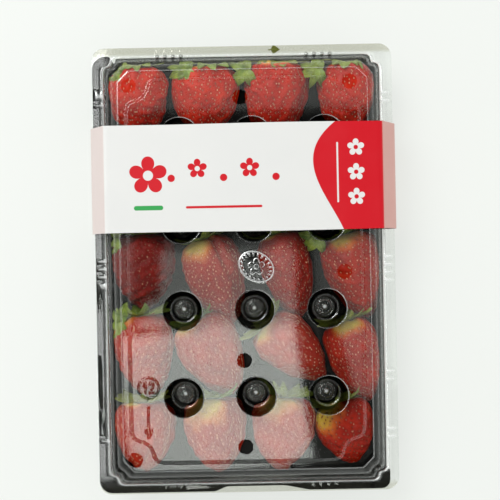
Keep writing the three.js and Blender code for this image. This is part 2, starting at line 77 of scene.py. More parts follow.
# ------------------------------------------------------------------ sizes that the pieces share
PLASTIC = 0.6
HALF_WIDTH = 100.0
HALF_LENGTH = 148.5
FLANGE_RADIUS = 9.0
BASE_FLANGE_TOP = 29.2
RIM_TOP = 30.1
LID_FLANGE_TOP = 31.0
LEDGE_Z = 47.8
PANEL_Z = 50.0
BASE_FLOOR_TOP = 2.2
TRAY_FLOOR_TOP = 3.1
BERRY_FLOOR = 3.5
LOBE_SWELL = 0.16
END_FLANGE = 0.82

WELL_MIDDLE = (5.7, 2.1)
WELL_PITCH = (47.0, 56.5)
WELL_CENTRES = np.array([
    (WELL_MIDDLE[0] + WELL_PITCH[0] * column, WELL_MIDDLE[1] + WELL_PITCH[1] * row)
    for row in (1.5, 0.5, -0.5, -1.5)
    for column in (-1, 0, 1)
])
LEDGE_VENTS = ((-74.0, 121.0), (70.0, 121.2), (-73.6, -122.7), (70.0, -122.5))
PANEL_VENTS = ((-1.5, 112.0), (64.5, -2.5), (-1.8, -59.0), (-1.9, -115.0))
VENT_RADIUS = 4.9
SIDE_LUGS = (-8.8, -3.6, 1.6, 6.8, -74.6, -69.4, -112.6, -107.4, 110.4, 115.6)
END_LUGS = (-55.8, -50.6, -45.4, -40.2, 43.2, 48.4, 53.6, 58.8)


# ------------------------------------------------------------------ small mathematics
def smooth_step(low: float, high: float, value: np.ndarray) -> np.ndarray:
    """A smooth rise from 0 at low to 1 at high."""
    t = np.clip((np.asarray(value, float) - low) / (high - low), 0.0, 1.0)
    return t * t * (3.0 - 2.0 * t)


def resample(path: np.ndarray, steps: int) -> np.ndarray:
    """Points at even distances along a path.

    Args:
        path: the corners of the path, one per row.
        steps: how many even steps it is cut into.

    Returns:
        steps + 1 points, the path's ends among them.
    """
    gaps = np.hypot(*np.diff(path, axis=0).T)
    along = np.concatenate([[0.0], np.cumsum(gaps)])
    wanted = np.linspace(0.0, along[-1], steps + 1)
    return np.column_stack([np.interp(wanted, along, path[:, k]) for k in range(path.shape[1])])


def rounded(loop: np.ndarray, times: int) -> np.ndarray:
    """A closed loop with its corners eased by averaging each point with its neighbours.

    Args:
        loop: the loop's points.
        times: how often it is eased.

    Returns:
        The eased loop.
    """
    for _ in range(times):
        loop = 0.5 * loop + 0.25 * (np.roll(loop, 1, axis=0) + np.roll(loop, -1, axis=0))
    return loop


def at_height(loop: np.ndarray, z: float | np.ndarray) -> np.ndarray:
    """A flat loop of x and y as points at a height."""
    return np.column_stack([loop, np.broadcast_to(z, len(loop))])


def circle(x: float, y: float, radius: float, sides: int) -> np.ndarray:
    """A circle's points, counter-clockwise."""
    turn = np.linspace(0.0, 2.0 * math.pi, sides, endpoint=False)
    return np.column_stack([x + radius * np.cos(turn), y + radius * np.sin(turn)])


def stroke(x: np.ndarray, y: np.ndarray, path: Sequence[tuple[float, float]]) -> np.ndarray:
    """The distance from each point to a line of straight pieces.

    Args:
        x: the points' places across the pack.
        y: the points' places along the pack.
        path: the line's corners.

    Returns:
        The distances.
    """
    best = np.full(np.shape(x), 1e9)
    for (ax, ay), (bx, by) in zip(path, path[1:]):
        dx, dy = bx - ax, by - ay
        t = np.clip(((x - ax) * dx + (y - ay) * dy) / (dx * dx + dy * dy), 0.0, 1.0)
        best = np.minimum(best, np.hypot(x - ax - t * dx, y - ay - t * dy))
    return best


# ------------------------------------------------------------------ outlines
def stations(reach: float, lugs: Iterable[float], gap: float = 9.0) -> np.ndarray:
    """Places along a straight side: even ones, and close ones over each lug.

    Args:
        reach: half the side's straight length.
        lugs: where its lugs stand.
        gap: between even places.

    Returns:
        The places in rising order.
    """
    fine = np.array([-1.9, -1.3, -0.95, -0.6, -0.3, 0.0, 0.3, 0.6, 0.95, 1.3, 1.9])
    close = np.concatenate([c + fine for c in lugs])
    even = np.linspace(-reach, reach, int(2 * reach / gap) + 1)
    kept = [e for e in even if np.abs(close - e).min() > 1.0 or abs(abs(e) - reach) < 1e-6]
    return np.unique(np.round(np.concatenate([kept, close]), 4))


SIDE_REACH = 120.0
END_REACH = 68.0
SIDE_STATIONS = stations(SIDE_REACH, SIDE_LUGS)
END_STATIONS = stations(END_REACH, END_LUGS)
CORNER_STEPS = 34


def full_ring(x: float, y: float, corner: np.ndarray) -> np.ndarray:
    """A closed ring, counter-clockwise from the right side, with the same corner four times.

    Args:
        x: half its width.
        y: half its length.
        corner: the path of the corner near (+x, +y), from the right side round to the far end.

    Returns:
        As many points for every ring, in matching places.
    """
    path = np.vstack([[(x, SIDE_REACH)], corner, [(END_REACH, y)]])
    bend = resample(path, CORNER_STEPS)[1:-1]
    side = np.column_stack([np.full(len(SIDE_STATIONS), x), SIDE_STATIONS])
    end = np.column_stack([END_STATIONS[::-1], np.full(len(END_STATIONS), y)])
    half = np.vstack([side, bend, end, bend[::-1] * (-1, 1)])
    return np.vstack([half, -half])


@dataclass(frozen=True)
class Outline:
    """A rectangle with cut corners: half sizes, the size of a corner and how far its lobes swell."""

    x: float
    y: float
    corner: float
    lobe: float = 0.0

    def inset(self, distance: float) -> "Outline":
        """The same form with its sides moved in."""
        return replace(self, x=self.x - distance, y=self.y - distance, corner=self.corner - 0.586 * distance)

    def blend(self, other: "Outline", share: float) -> "Outline":
        """A form part of the way to another one."""
        mix = [a + share * (b - a) for a, b in zip(self.values(), other.values())]
        return Outline(*mix)

    def values(self) -> tuple[float, float, float, float]:
        """The four sizes."""
        return self.x, self.y, self.corner, self.lobe

    def corner_path(self) -> np.ndarray:
        """The corner near (+x, +y), from the right side round to the far end.

        Returns:
            The corner's points.
        """
        t = np.linspace(0.0, 0.5, 13)
        swell = self.lobe * LOBE_SWELL * np.sin(2.0 * math.pi * t)
        x = self.x - self.corner * (t - swell)
        y = self.y - self.corner * (1.0 - t - swell)
        first = np.column_stack([x, y])
        mirrored = np.column_stack([self.x - (self.y - first[:, 1]), self.y - (self.x - first[:, 0])])
        return np.vstack([first, mirrored[::-1][1:]])

    def ring(self, softness: int = 2) -> np.ndarray:
        """The closed ring of the form, its corners a little eased."""
        loop = full_ring(self.x, self.y, self.corner_path())
        return rounded(loop, softness) if softness else loop


TUB_FOOT = Outline(88.0, 138.0, 9.0)
TUB_TOP = Outline(91.2, 141.2, 11.0, 1.0)
BEAD_EDGE = Outline(95.4, 143.5, 12.6, 1.0)
LEDGE = Outline(81.5, 130.6, 7.2)


def flange_ring(inset: float) -> np.ndarray:
    """A ring on the flange, a distance in from its edge, a little less at the narrower ends.

    Args:
        inset: the distance.

    Returns:
        The ring's points.
    """
    radius = max(FLANGE_RADIUS - inset, 0.4)
    x, y = HALF_WIDTH - inset, HALF_LENGTH - END_FLANGE * inset
    turn = np.linspace(0.0, math.pi / 2.0, 20)
    corner = np.column_stack([x - radius + radius * np.cos(turn), y - radius + radius * np.sin(turn)])
    return full_ring(x, y, corner)


# ------------------------------------------------------------------ meshes
@dataclass
class MeshMaker:
    """The points and faces of one mesh, in millimetres."""

    blocks: list[np.ndarray] = field(default_factory=list)
    faces: list[tuple[int, ...]] = field(default_factory=list)
    total: int = 0
    marks: dict[str, list[np.ndarray]] = field(default_factory=dict)

    def add(self, points: np.ndarray, **marks: np.ndarray) -> np.ndarray:
        """Adds points, with a number of each mark at every point, and returns their places.

        Args:
            points: the points, one per row.
            marks: a number, or one for each point, by the mark's name.

        Returns:
            The places of the points.
        """
        self.blocks.append(np.asarray(points, float))
        for name, values in marks.items():
            layer = self.marks.setdefault(name, [np.zeros(self.total)])
            layer.append(np.broadcast_to(values, len(points)))
        for name in self.marks.keys() - marks.keys():
            self.marks[name].append(np.zeros(len(points)))
        self.total += len(points)
        return np.arange(self.total - len(points), self.total)

    def bridge(self, first: np.ndarray, second: np.ndarray, closed: bool = True) -> None:
        """Joins two rows of as many points with four-sided faces.

        Args:
            first: places of one row.
            second: places of the other.
            closed: whether the rows are rings.
        """
        i = np.arange(len(first) if closed else len(first) - 1)
        j = (i + 1) % len(first)
        self.faces.extend(map(tuple, np.column_stack([first[i], first[j], second[j], second[i]]).tolist()))

    def loft(
        self, rings: Sequence[np.ndarray], closed: bool = True, **marks: Sequence[float]
    ) -> list[np.ndarray]:
        """Adds rings, with a number of each mark for every ring, and joins each to the next one.

        Args:
            rings: the rings.
            closed: whether they are closed.
            marks: each ring's number, by mark.

        Returns:
            The places of each ring's points.
        """
        placed = []
        for k, ring in enumerate(rings):
            placed.append(self.add(ring, **{name: values[k] for name, values in marks.items()}))
        for first, second in zip(placed, placed[1:]):
            self.bridge(first, second, closed)
        return placed

    def fan(self, ring: np.ndarray, centre: Sequence[float], **marks: float) -> None:
        """Closes a ring with triangles to a middle point."""
        middle = int(self.add(np.array([centre]), **marks)[0])
        self.faces.extend((int(a), int(b), middle) for a, b in zip(ring, np.roll(ring, -1)))

    def fill(self, outer: np.ndarray, holes: Sequence[np.ndarray]) -> None:
        """Fills the flat space inside an outer ring and outside its holes with triangles.

        Args:
            outer: places of the outer ring's points.
            holes: places of each hole's points.
        """
        loops = [outer, *holes]
        ids = np.concatenate(loops)
        flat = np.vstack(self.blocks)[ids][:, :2]
        edges, start = [], 0
        for loop in loops:
            edges += [(start + k, start + (k + 1) % len(loop)) for k in range(len(loop))]
            start += len(loop)
        made = delaunay_2d_cdt([Vector(p) for p in flat], edges, [], 0, 1e-5)
        places = np.array([ids[origin[0]] for origin in made[3]])
        spots = np.array([tuple(v) for v in made[0]])
        triangles = np.array(made[2])
        middle = spots[triangles].mean(axis=1)
        a, b = flat[[e[0] for e in edges]], flat[[e[1] for e in edges]]
        rise = (a[:, 1] > middle[:, None, 1]) != (b[:, 1] > middle[:, None, 1])
        slope = (b[:, 0] - a[:, 0]) / np.where(b[:, 1] == a[:, 1], 1e-12, b[:, 1] - a[:, 1])
        crossing = a[:, 0] + (middle[:, None, 1] - a[:, 1]) * slope
        inside = (rise & (middle[:, None, 0] < crossing)).sum(axis=1) % 2 == 1
        self.faces.extend(map(tuple, places[triangles[inside]].tolist()))

    def make(self, name: str) -> bpy.types.Object:
        """The object of the mesh, smooth, in metres.

        Args:
            name: the object's name.

        Returns:
            The object, in the scene.
        """
        mesh = bpy.data.meshes.new(name)
        mesh.from_pydata((np.vstack(self.blocks) * MM).tolist(), [], self.faces)
        mesh.polygons.foreach_set("use_smooth", [True] * len(mesh.polygons))
        for mark, blocks in self.marks.items():
            layer = mesh.attributes.new(mark, "FLOAT", "POINT")
            layer.data.foreach_set("value", np.concatenate(blocks).astype(np.float32))
        mesh.update()
        made = bpy.data.objects.new(name, mesh)
        bpy.context.scene.collection.objects.link(made)
        return made


def thicken(piece: bpy.types.Object, thickness: float, sharp: float = 50.0, even: bool = True) -> None:
    """Turns a sheet into a thin closed shell below it, with its cut edges sharp.

    Args:
        piece: the sheet.
        thickness: in millimetres.
        sharp: edges that bend by more degrees than this stay sharp.
        even: whether the shell keeps its thickness round bends.
    """
    shell = piece.modifiers.new("thickness", "SOLIDIFY")
    shell.thickness = thickness * MM
    shell.offset = -1.0
    shell.use_even_offset = even
    graph = bpy.context.evaluated_depsgraph_get()
    solid = bpy.data.meshes.new_from_object(piece.evaluated_get(graph))
    piece.modifiers.clear()
    piece.data = solid
    solid.name = piece.name
    solid.set_sharp_from_angle(angle=math.radians(sharp))


def settle(piece: bpy.types.Object, material: bpy.types.Material, slot: Slot, *nodes: str) -> None:
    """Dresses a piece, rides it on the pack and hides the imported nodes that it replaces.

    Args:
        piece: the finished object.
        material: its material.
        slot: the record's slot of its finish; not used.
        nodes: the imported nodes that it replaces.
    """
    piece.data.materials.clear()
    piece.data.materials.append(material)
    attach(piece, BODY)
    if nodes:
        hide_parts(*nodes)
    LOG.info("%s: %d faces", piece.name, len(piece.data.polygons))


# ------------------------------------------------------------------ node trees
class Tree:
    """A short way to add, set and link nodes in one node tree."""

    def __init__(self, tree: bpy.types.NodeTree) -> None:
        """Keeps the tree."""
        self.tree = tree

    def add(self, kind: str, inputs: dict | None = None, **settings: object) -> bpy.types.Node:
        """Adds a node.

        Args:
            kind: the node's type name.
            inputs: values or sockets for its inputs, by name or number.
            settings: the node's own settings.

        Returns:
            The node.
        """
        node = self.tree.nodes.new(kind)
        for name, value in settings.items():
            setattr(node, name, value)
        for key, value in (inputs or {}).items():
            self.put(node.inputs[key], value)
        return node

    def put(self, socket: bpy.types.NodeSocket, value: object) -> None:
        """Links a socket into an input, or sets the input's own value.

        Args:
            socket: the input.
            value: a socket or a value.
        """
        if isinstance(value, bpy.types.NodeSocket):
            self.tree.links.new(value, socket)
        elif isinstance(value, tuple) and len(value) == 3 and socket.type == "RGBA":
            socket.default_value = (*value, 1.0)
        else:
            socket.default_value = value

    def math(self, operation: str, *values: object, clamp: bool = False) -> bpy.types.NodeSocket:
        """The result of a Math node."""
        node = self.add("ShaderNodeMath", dict(enumerate(values)), operation=operation, use_clamp=clamp)
        return node.outputs[0]

    def mix(self, share: object, first: object, second: object, mode: str = "MIX") -> bpy.types.NodeSocket:
        """A mix of two colours.

        Args:
            share: how much of the second.
            first: a colour.
            second: a colour.
            mode: the blend.

        Returns:
            The mixed colour.
        """
        node = self.add("ShaderNodeMix", data_type="RGBA", blend_type=mode)
        self.put(node.inputs[0], share)
        self.put(node.inputs[6], first)
        self.put(node.inputs[7], second)
        return node.outputs[2]

    def noise(self, scale: float, detail: float = 3.0, vector: object = None) -> bpy.types.NodeSocket:
        """A noise over the part's own coordinates."""
        where = vector if vector is not None else self.place()
        return self.add("ShaderNodeTexNoise", {"Vector": where, "Scale": scale, "Detail": detail}).outputs[0]

    def place(self) -> bpy.types.NodeSocket:
        """The part's own coordinates, in metres."""
        return self.add("ShaderNodeTexCoord").outputs["Object"]

    def ramp(self, value: object, low: float, high: float) -> bpy.types.NodeSocket:
        """A value taken from low to high onto 0 to 1."""
        inputs = {"Value": value, "From Min": low, "From Max": high}
        return self.add("ShaderNodeMapRange", inputs, interpolation_type="SMOOTHSTEP").outputs[0]

    def length(self, dx: object, dy: object) -> bpy.types.NodeSocket:
        """The length of a flat arrow from its two sides."""
        squares = self.math("ADD", self.math("MULTIPLY", dx, dx), self.math("MULTIPLY", dy, dy))
        return self.math("SQRT", squares)

    def mark(self, name: str) -> bpy.types.NodeSocket:
        """A mark that the mesh carries at its points."""
        return self.add("ShaderNodeAttribute", attribute_name=name).outputs["Fac"]

    def group(self, tree: bpy.types.NodeTree, **inputs: object) -> bpy.types.Node:
        """A node group with its inputs set by name.

        Args:
            tree: the group.
            inputs: values or sockets, by name.

        Returns:
            The group's node.
        """
        node = self.add("ShaderNodeGroup", node_tree=tree)
        for name, value in inputs.items():
            self.put(node.inputs[name.replace("_", " ").title()], value)
        return node


def new_group(name: str, inputs: dict[str, tuple[str, object]], outputs: dict[str, str]) -> tuple:
    """An empty shader node group.

    Args:
        name: the group's name.
        inputs: the socket type and the value of each input.
        outputs: the socket type of each output.

    Returns:
        The group's tree, its Tree helper, its input node and its output node.
    """
    group = bpy.data.node_groups.new(name, "ShaderNodeTree")
    for label, (kind, value) in inputs.items():
        socket = group.interface.new_socket(name=label, in_out="INPUT", socket_type=kind)
        socket.default_value = value
    for label, kind in outputs.items():
        group.interface.new_socket(name=label, in_out="OUTPUT", socket_type=kind)
    tree = Tree(group)
    return group, tree, tree.add("NodeGroupInput"), tree.add("NodeGroupOutput")


def mottle_group() -> bpy.types.NodeTree:
    """Two colours that run into each other in soft uneven patches.

    Returns:
        The group, built once.
    """
    found = bpy.data.node_groups.get("mottle")
    if found:
        return found
    inputs = {
        "First": ("NodeSocketColor", (1.0, 1.0, 1.0, 1.0)),
        "Second": ("NodeSocketColor", (0.5, 0.5, 0.5, 1.0)),
        "Scale": ("NodeSocketFloat", 60.0),
        "Contrast": ("NodeSocketFloat", 0.2),
    }
    outputs = {"Color": "NodeSocketColor", "Mask": "NodeSocketFloat"}
    group, tree, start, end = new_group("mottle", inputs, outputs)
    noise = {"Vector": tree.place(), "Scale": start.outputs["Scale"], "Detail": 4.0}
    cloud = tree.add("ShaderNodeTexNoise", noise)
    low = tree.math("SUBTRACT", 0.5, start.outputs["Contrast"])
    high = tree.math("ADD", 0.5, start.outputs["Contrast"])
    span = {"Value": cloud.outputs[0], "From Min": low, "From Max": high}
    mask = tree.add("ShaderNodeMapRange", span).outputs[0]
    tree.put(end.inputs["Color"], tree.mix(mask, start.outputs["First"], start.outputs["Second"]))
    tree.put(end.inputs["Mask"], mask)
    return group


def grain_group() -> bpy.types.NodeTree:
    """A fine uneven surface: a height for a bump and a mask of its high spots.

    Returns:
        The group, built once.
    """
    found = bpy.data.node_groups.get("grain")
    if found:
        return found
    inputs = {"Scale": ("NodeSocketFloat", 900.0), "Coarse": ("NodeSocketFloat", 120.0)}
    outputs = {"Height": "NodeSocketFloat", "Mask": "NodeSocketFloat"}
    group, tree, start, end = new_group("grain", inputs, outputs)
    where = tree.place()
    fine = tree.add("ShaderNodeTexNoise", {"Vector": where, "Scale": start.outputs["Scale"], "Detail": 2.0})
    wide = tree.add("ShaderNodeTexNoise", {"Vector": where, "Scale": start.outputs["Coarse"], "Detail": 3.0})
    height = tree.math("MULTIPLY_ADD", fine.outputs[0], 0.4, tree.math("MULTIPLY", wide.outputs[0], 0.6))
    tree.put(end.inputs["Height"], height)
    tree.put(end.inputs["Mask"], tree.ramp(height, 0.45, 0.6))
    return group


def new_material(name: str) -> tuple[bpy.types.Material, Tree, bpy.types.Node]:
    """An empty material, its Tree helper and its output node."""
    material = bpy.data.materials.new(name)
    material.use_nodes = True
    material.node_tree.nodes.clear()
    tree = Tree(material.node_tree)
    return material, tree, tree.add("ShaderNodeOutputMaterial")


def bump(tree: Tree, height: object, strength: float, distance: float) -> bpy.types.NodeSocket:
    """A normal from a height, the distance in millimetres."""
    inputs = {"Height": height, "Strength": strength, "Distance": distance * MM}
    return tree.add("ShaderNodeBump", inputs).outputs[0]


# ------------------------------------------------------------------ finishes
@dataclass(frozen=True)
class ClearSheet:
    """Thin clear plastic sheet: it lets the view through and mirrors more at a slant. A frost mark lays frost
    and painted highlights on it as a rough white layer, and a shade mark darkens what shows through as
    painted shade.
    """

    name: str = "clear sheet"
    tint: tuple[float, float, float] = (0.988, 0.992, 0.987)
    warm: tuple[float, float, float] = (0.865, 0.86, 0.81)
    mirror: float = 0.035
    slant: float = 6.0
    # how much rough white the frost mark lays on: part frost, mostly painted highlights on edges, rims and
    # the medal
    frost: float = 0.5
    # colour of the painted shade that the shade mark lays on well walls and bump rings
    shade: tuple[float, float, float] = (0.1, 0.11, 0.075)
    gloss: float = 0.05
    wave: float = 0.014

    def build(self) -> bpy.types.Material:
        """The material."""
        material, tree, out = new_material(self.name)
        facing = tree.add("ShaderNodeLayerWeight", {"Blend": 0.5}).outputs["Facing"]
        steep = tree.math("POWER", facing, self.slant)
        share = tree.math("MULTIPLY_ADD", steep, 1.0 - self.mirror, self.mirror, clamp=True)
        share = tree.math("MULTIPLY", share, tree.math("SUBTRACT", 1.0, tree.mark("dull"), clamp=True))
        # frost mark: partly frosted plastic, mostly painted highlights
        frosted_highlight = tree.mark("frost")
        grain = tree.group(grain_group(), scale=420.0, coarse=26.0)
        normal = bump(tree, grain.outputs["Height"], 1.0, self.wave)
        share = tree.math("MULTIPLY_ADD", frosted_highlight, self.frost, share, clamp=True)
        tint = tree.mix(tree.mark("warm"), (*self.tint, 1.0), (*self.warm, 1.0))
        # painted shade: the shade mark darkens what shows through
        tint = tree.mix(tree.mark("shade"), tint, (*self.shade, 1.0))
        through = tree.add("ShaderNodeBsdfTransparent", {"Color": tint})
        inputs = {
            "Base Color": (0.93, 0.95, 0.94),
            "Metallic": tree.math("SUBTRACT", 1.0, frosted_highlight, clamp=True),
            "Roughness": tree.math("MULTIPLY_ADD", frosted_highlight, 0.35, self.gloss),
            "Normal": normal,
        }
        mirror = tree.add("ShaderNodeBsdfPrincipled", inputs)
        mixed = tree.add("ShaderNodeMixShader", {0: share, 1: through.outputs[0], 2: mirror.outputs[0]})
        tree.put(out.inputs[0], mixed.outputs[0])
        return material


@dataclass(frozen=True)
class BlackSheet:
    """Black formed plastic with a satin gloss and a little dust."""

    colour: tuple[float, float, float] = (0.006, 0.006, 0.005)
    dust: tuple[float, float, float] = (0.016, 0.016, 0.013)
    rough: tuple[float, float] = (0.26, 0.14)
    specular: float = 0.14

    def build(self) -> bpy.types.Material:
        """The material."""
        material, tree, out = new_material("black sheet")
        mottle = tree.group(mottle_group(), first=self.colour, second=self.dust, scale=90.0, contrast=0.22)
        grain = tree.group(grain_group(), scale=1500.0, coarse=160.0)
        least, more = self.rough
        inputs = {
            "Base Color": mottle.outputs["Color"],
            "Roughness": tree.math("MULTIPLY_ADD", mottle.outputs["Mask"], more, least),
            "Specular IOR Level": self.specular,
            "Normal": bump(tree, grain.outputs["Height"], 0.5, 0.06),
        }
        tree.put(out.inputs[0], tree.add("ShaderNodeBsdfPrincipled", inputs).outputs[0])
        return material


@dataclass(frozen=True)
class Flesh:
    """Strawberry skin: red, paler towards some shoulders, darker in its dimples as painted shade, moist."""

    name: str
    bright: tuple[float, float, float]
    deep: tuple[float, float, float]
    shoulder: tuple[float, float, float]
    middle: tuple[float, float, float]
    rough: tuple[float, float] = (0.33, 0.16)
    specular: float = 0.13
    depth: float = 0.1

    def build(self) -> bpy.types.Material:
        """The material."""
        material, tree, out = new_material(self.name)
        patches = tree.group(mottle_group(), first=self.bright, second=self.deep, scale=75.0, contrast=0.16)
        tone = tree.mark("tone")
        red = tree.mix(tree.math("MULTIPLY", tone, 0.6), patches.outputs["Color"], (*self.deep, 1.0))
        cloud = tree.noise(140.0, 4.0)
        pale = tree.math("ADD", tree.mark("pale"), tree.math("MULTIPLY_ADD", cloud, 0.5, -0.25))
        orange = tree.mix(tree.ramp(pale, 0.16, 0.5), red, (*self.middle, 1.0))
        skin = tree.mix(tree.ramp(pale, 0.42, 0.85), orange, (*self.shoulder, 1.0))
        # painted shade: the skin is darkened in the dimples round the seeds
        dimple = tree.mark("dimple")
        shade = tree.mix(tree.math("MULTIPLY", dimple, 0.45), skin, (0.45, 0.22, 0.2, 1.0), "MULTIPLY")
        grain = tree.group(grain_group(), scale=1300.0, coarse=380.0)
        least, more = self.rough
        inputs = {
            "Base Color": shade,
            "Roughness": tree.math("MULTIPLY_ADD", grain.outputs["Mask"], more, least),
            "Specular IOR Level": self.specular,
            "Subsurface Weight": self.depth,
            "Subsurface Radius": (1.0, 0.12, 0.06),
            "Subsurface Scale": 0.003,
            "Normal": bump(tree, grain.outputs["Height"], 0.55, 0.25),
        }
        tree.put(out.inputs[0], tree.add("ShaderNodeBsdfPrincipled", inputs).outputs[0])
        return material


SKINS = {
    Ripeness.BRIGHT: Flesh(
        "bright flesh",
        bright=(0.6, 0.026, 0.004),
        deep=(0.38, 0.01, 0.002),
        shoulder=(0.6, 0.36, 0.07),
        middle=(0.62, 0.13, 0.02),
    ),
    Ripeness.RIPE: Flesh(
        "ripe flesh",
        bright=(0.37, 0.016, 0.002),
        deep=(0.22, 0.006, 0.001),
        shoulder=(0.42, 0.29, 0.035),
        middle=(0.44, 0.085, 0.01),
    ),
    Ripeness.DEEP: Flesh(
        "deep flesh",
        bright=(0.22, 0.007, 0.002),
        deep=(0.11, 0.003, 0.001),
        shoulder=(0.4, 0.25, 0.04),
        middle=(0.36, 0.06, 0.01),
    ),
    Ripeness.PALE: Flesh(
        "pale flesh",
        bright=(0.37, 0.024, 0.006),
        deep=(0.24, 0.008, 0.002),
        shoulder=(0.54, 0.4, 0.1),
        middle=(0.48, 0.14, 0.03),
    ),
}


@dataclass(frozen=True)
class SeedCoat:
    """The seeds: straw yellow to brown and red."""

    straw: tuple[float, float, float] = (0.8, 0.46, 0.28)
    brown: tuple[float, float, float] = (0.12, 0.02, 0.006)
    rough: float = 0.5
    specular: float = 0.15

    def build(self) -> bpy.types.Material:
        """The material."""
        material, tree, out = new_material("seed coat")
        mixed = tree.mix(tree.mark("age"), (*self.straw, 1.0), (*self.brown, 1.0))
        mottle = tree.group(mottle_group(), first=(1.0, 1.0, 1.0), second=(0.6, 0.5, 0.4), scale=900.0)
        colour = tree.mix(0.6, mixed, mottle.outputs["Color"], "MULTIPLY")
        inputs = {"Base Color": colour, "Roughness": self.rough, "Specular IOR Level": self.specular}
        tree.put(out.inputs[0], tree.add("ShaderNodeBsdfPrincipled", inputs).outputs[0])
        return material


@dataclass(frozen=True)
class LeafSkin:
    """Green leaf: darker and lighter patches, a pale midrib and fine veins."""

    light: tuple[float, float, float] = (0.23, 0.32, 0.025)
    dark: tuple[float, float, float] = (0.055, 0.115, 0.012)
    rib: tuple[float, float, float] = (0.28, 0.36, 0.07)
    aged: tuple[float, float, float] = (0.22, 0.2, 0.035)

    def build(self) -> bpy.types.Material:
        """The material."""
        material, tree, out = new_material("leaf skin")
        mottle = tree.group(mottle_group(), first=self.light, second=self.dark, scale=160.0, contrast=0.2)
        aged = tree.mix(tree.mark("tone"), mottle.outputs["Color"], (*self.aged, 1.0))
        across = tree.mark("across")
        rib = tree.ramp(tree.math("ABSOLUTE", across), 0.2, 0.02)
        ribbed = tree.mix(tree.math("MULTIPLY", rib, 0.6), aged, (*self.rib, 1.0))
        veins = tree.math("ABSOLUTE", across)
        slanted = tree.math("MULTIPLY", veins, -9.0)
        wave = tree.math("SINE", tree.math("MULTIPLY_ADD", tree.mark("along"), 40.0, slanted))
        height = tree.math("MULTIPLY_ADD", wave, 0.25, tree.math("MULTIPLY", rib, 0.8))
        inputs = {
            "Base Color": ribbed,
            "Roughness": tree.math("MULTIPLY_ADD", mottle.outputs["Mask"], 0.15, 0.4),
            "Normal": bump(tree, height, 0.6, 0.2),
        }
        tree.put(out.inputs[0], tree.add("ShaderNodeBsdfPrincipled", inputs).outputs[0])
        return material


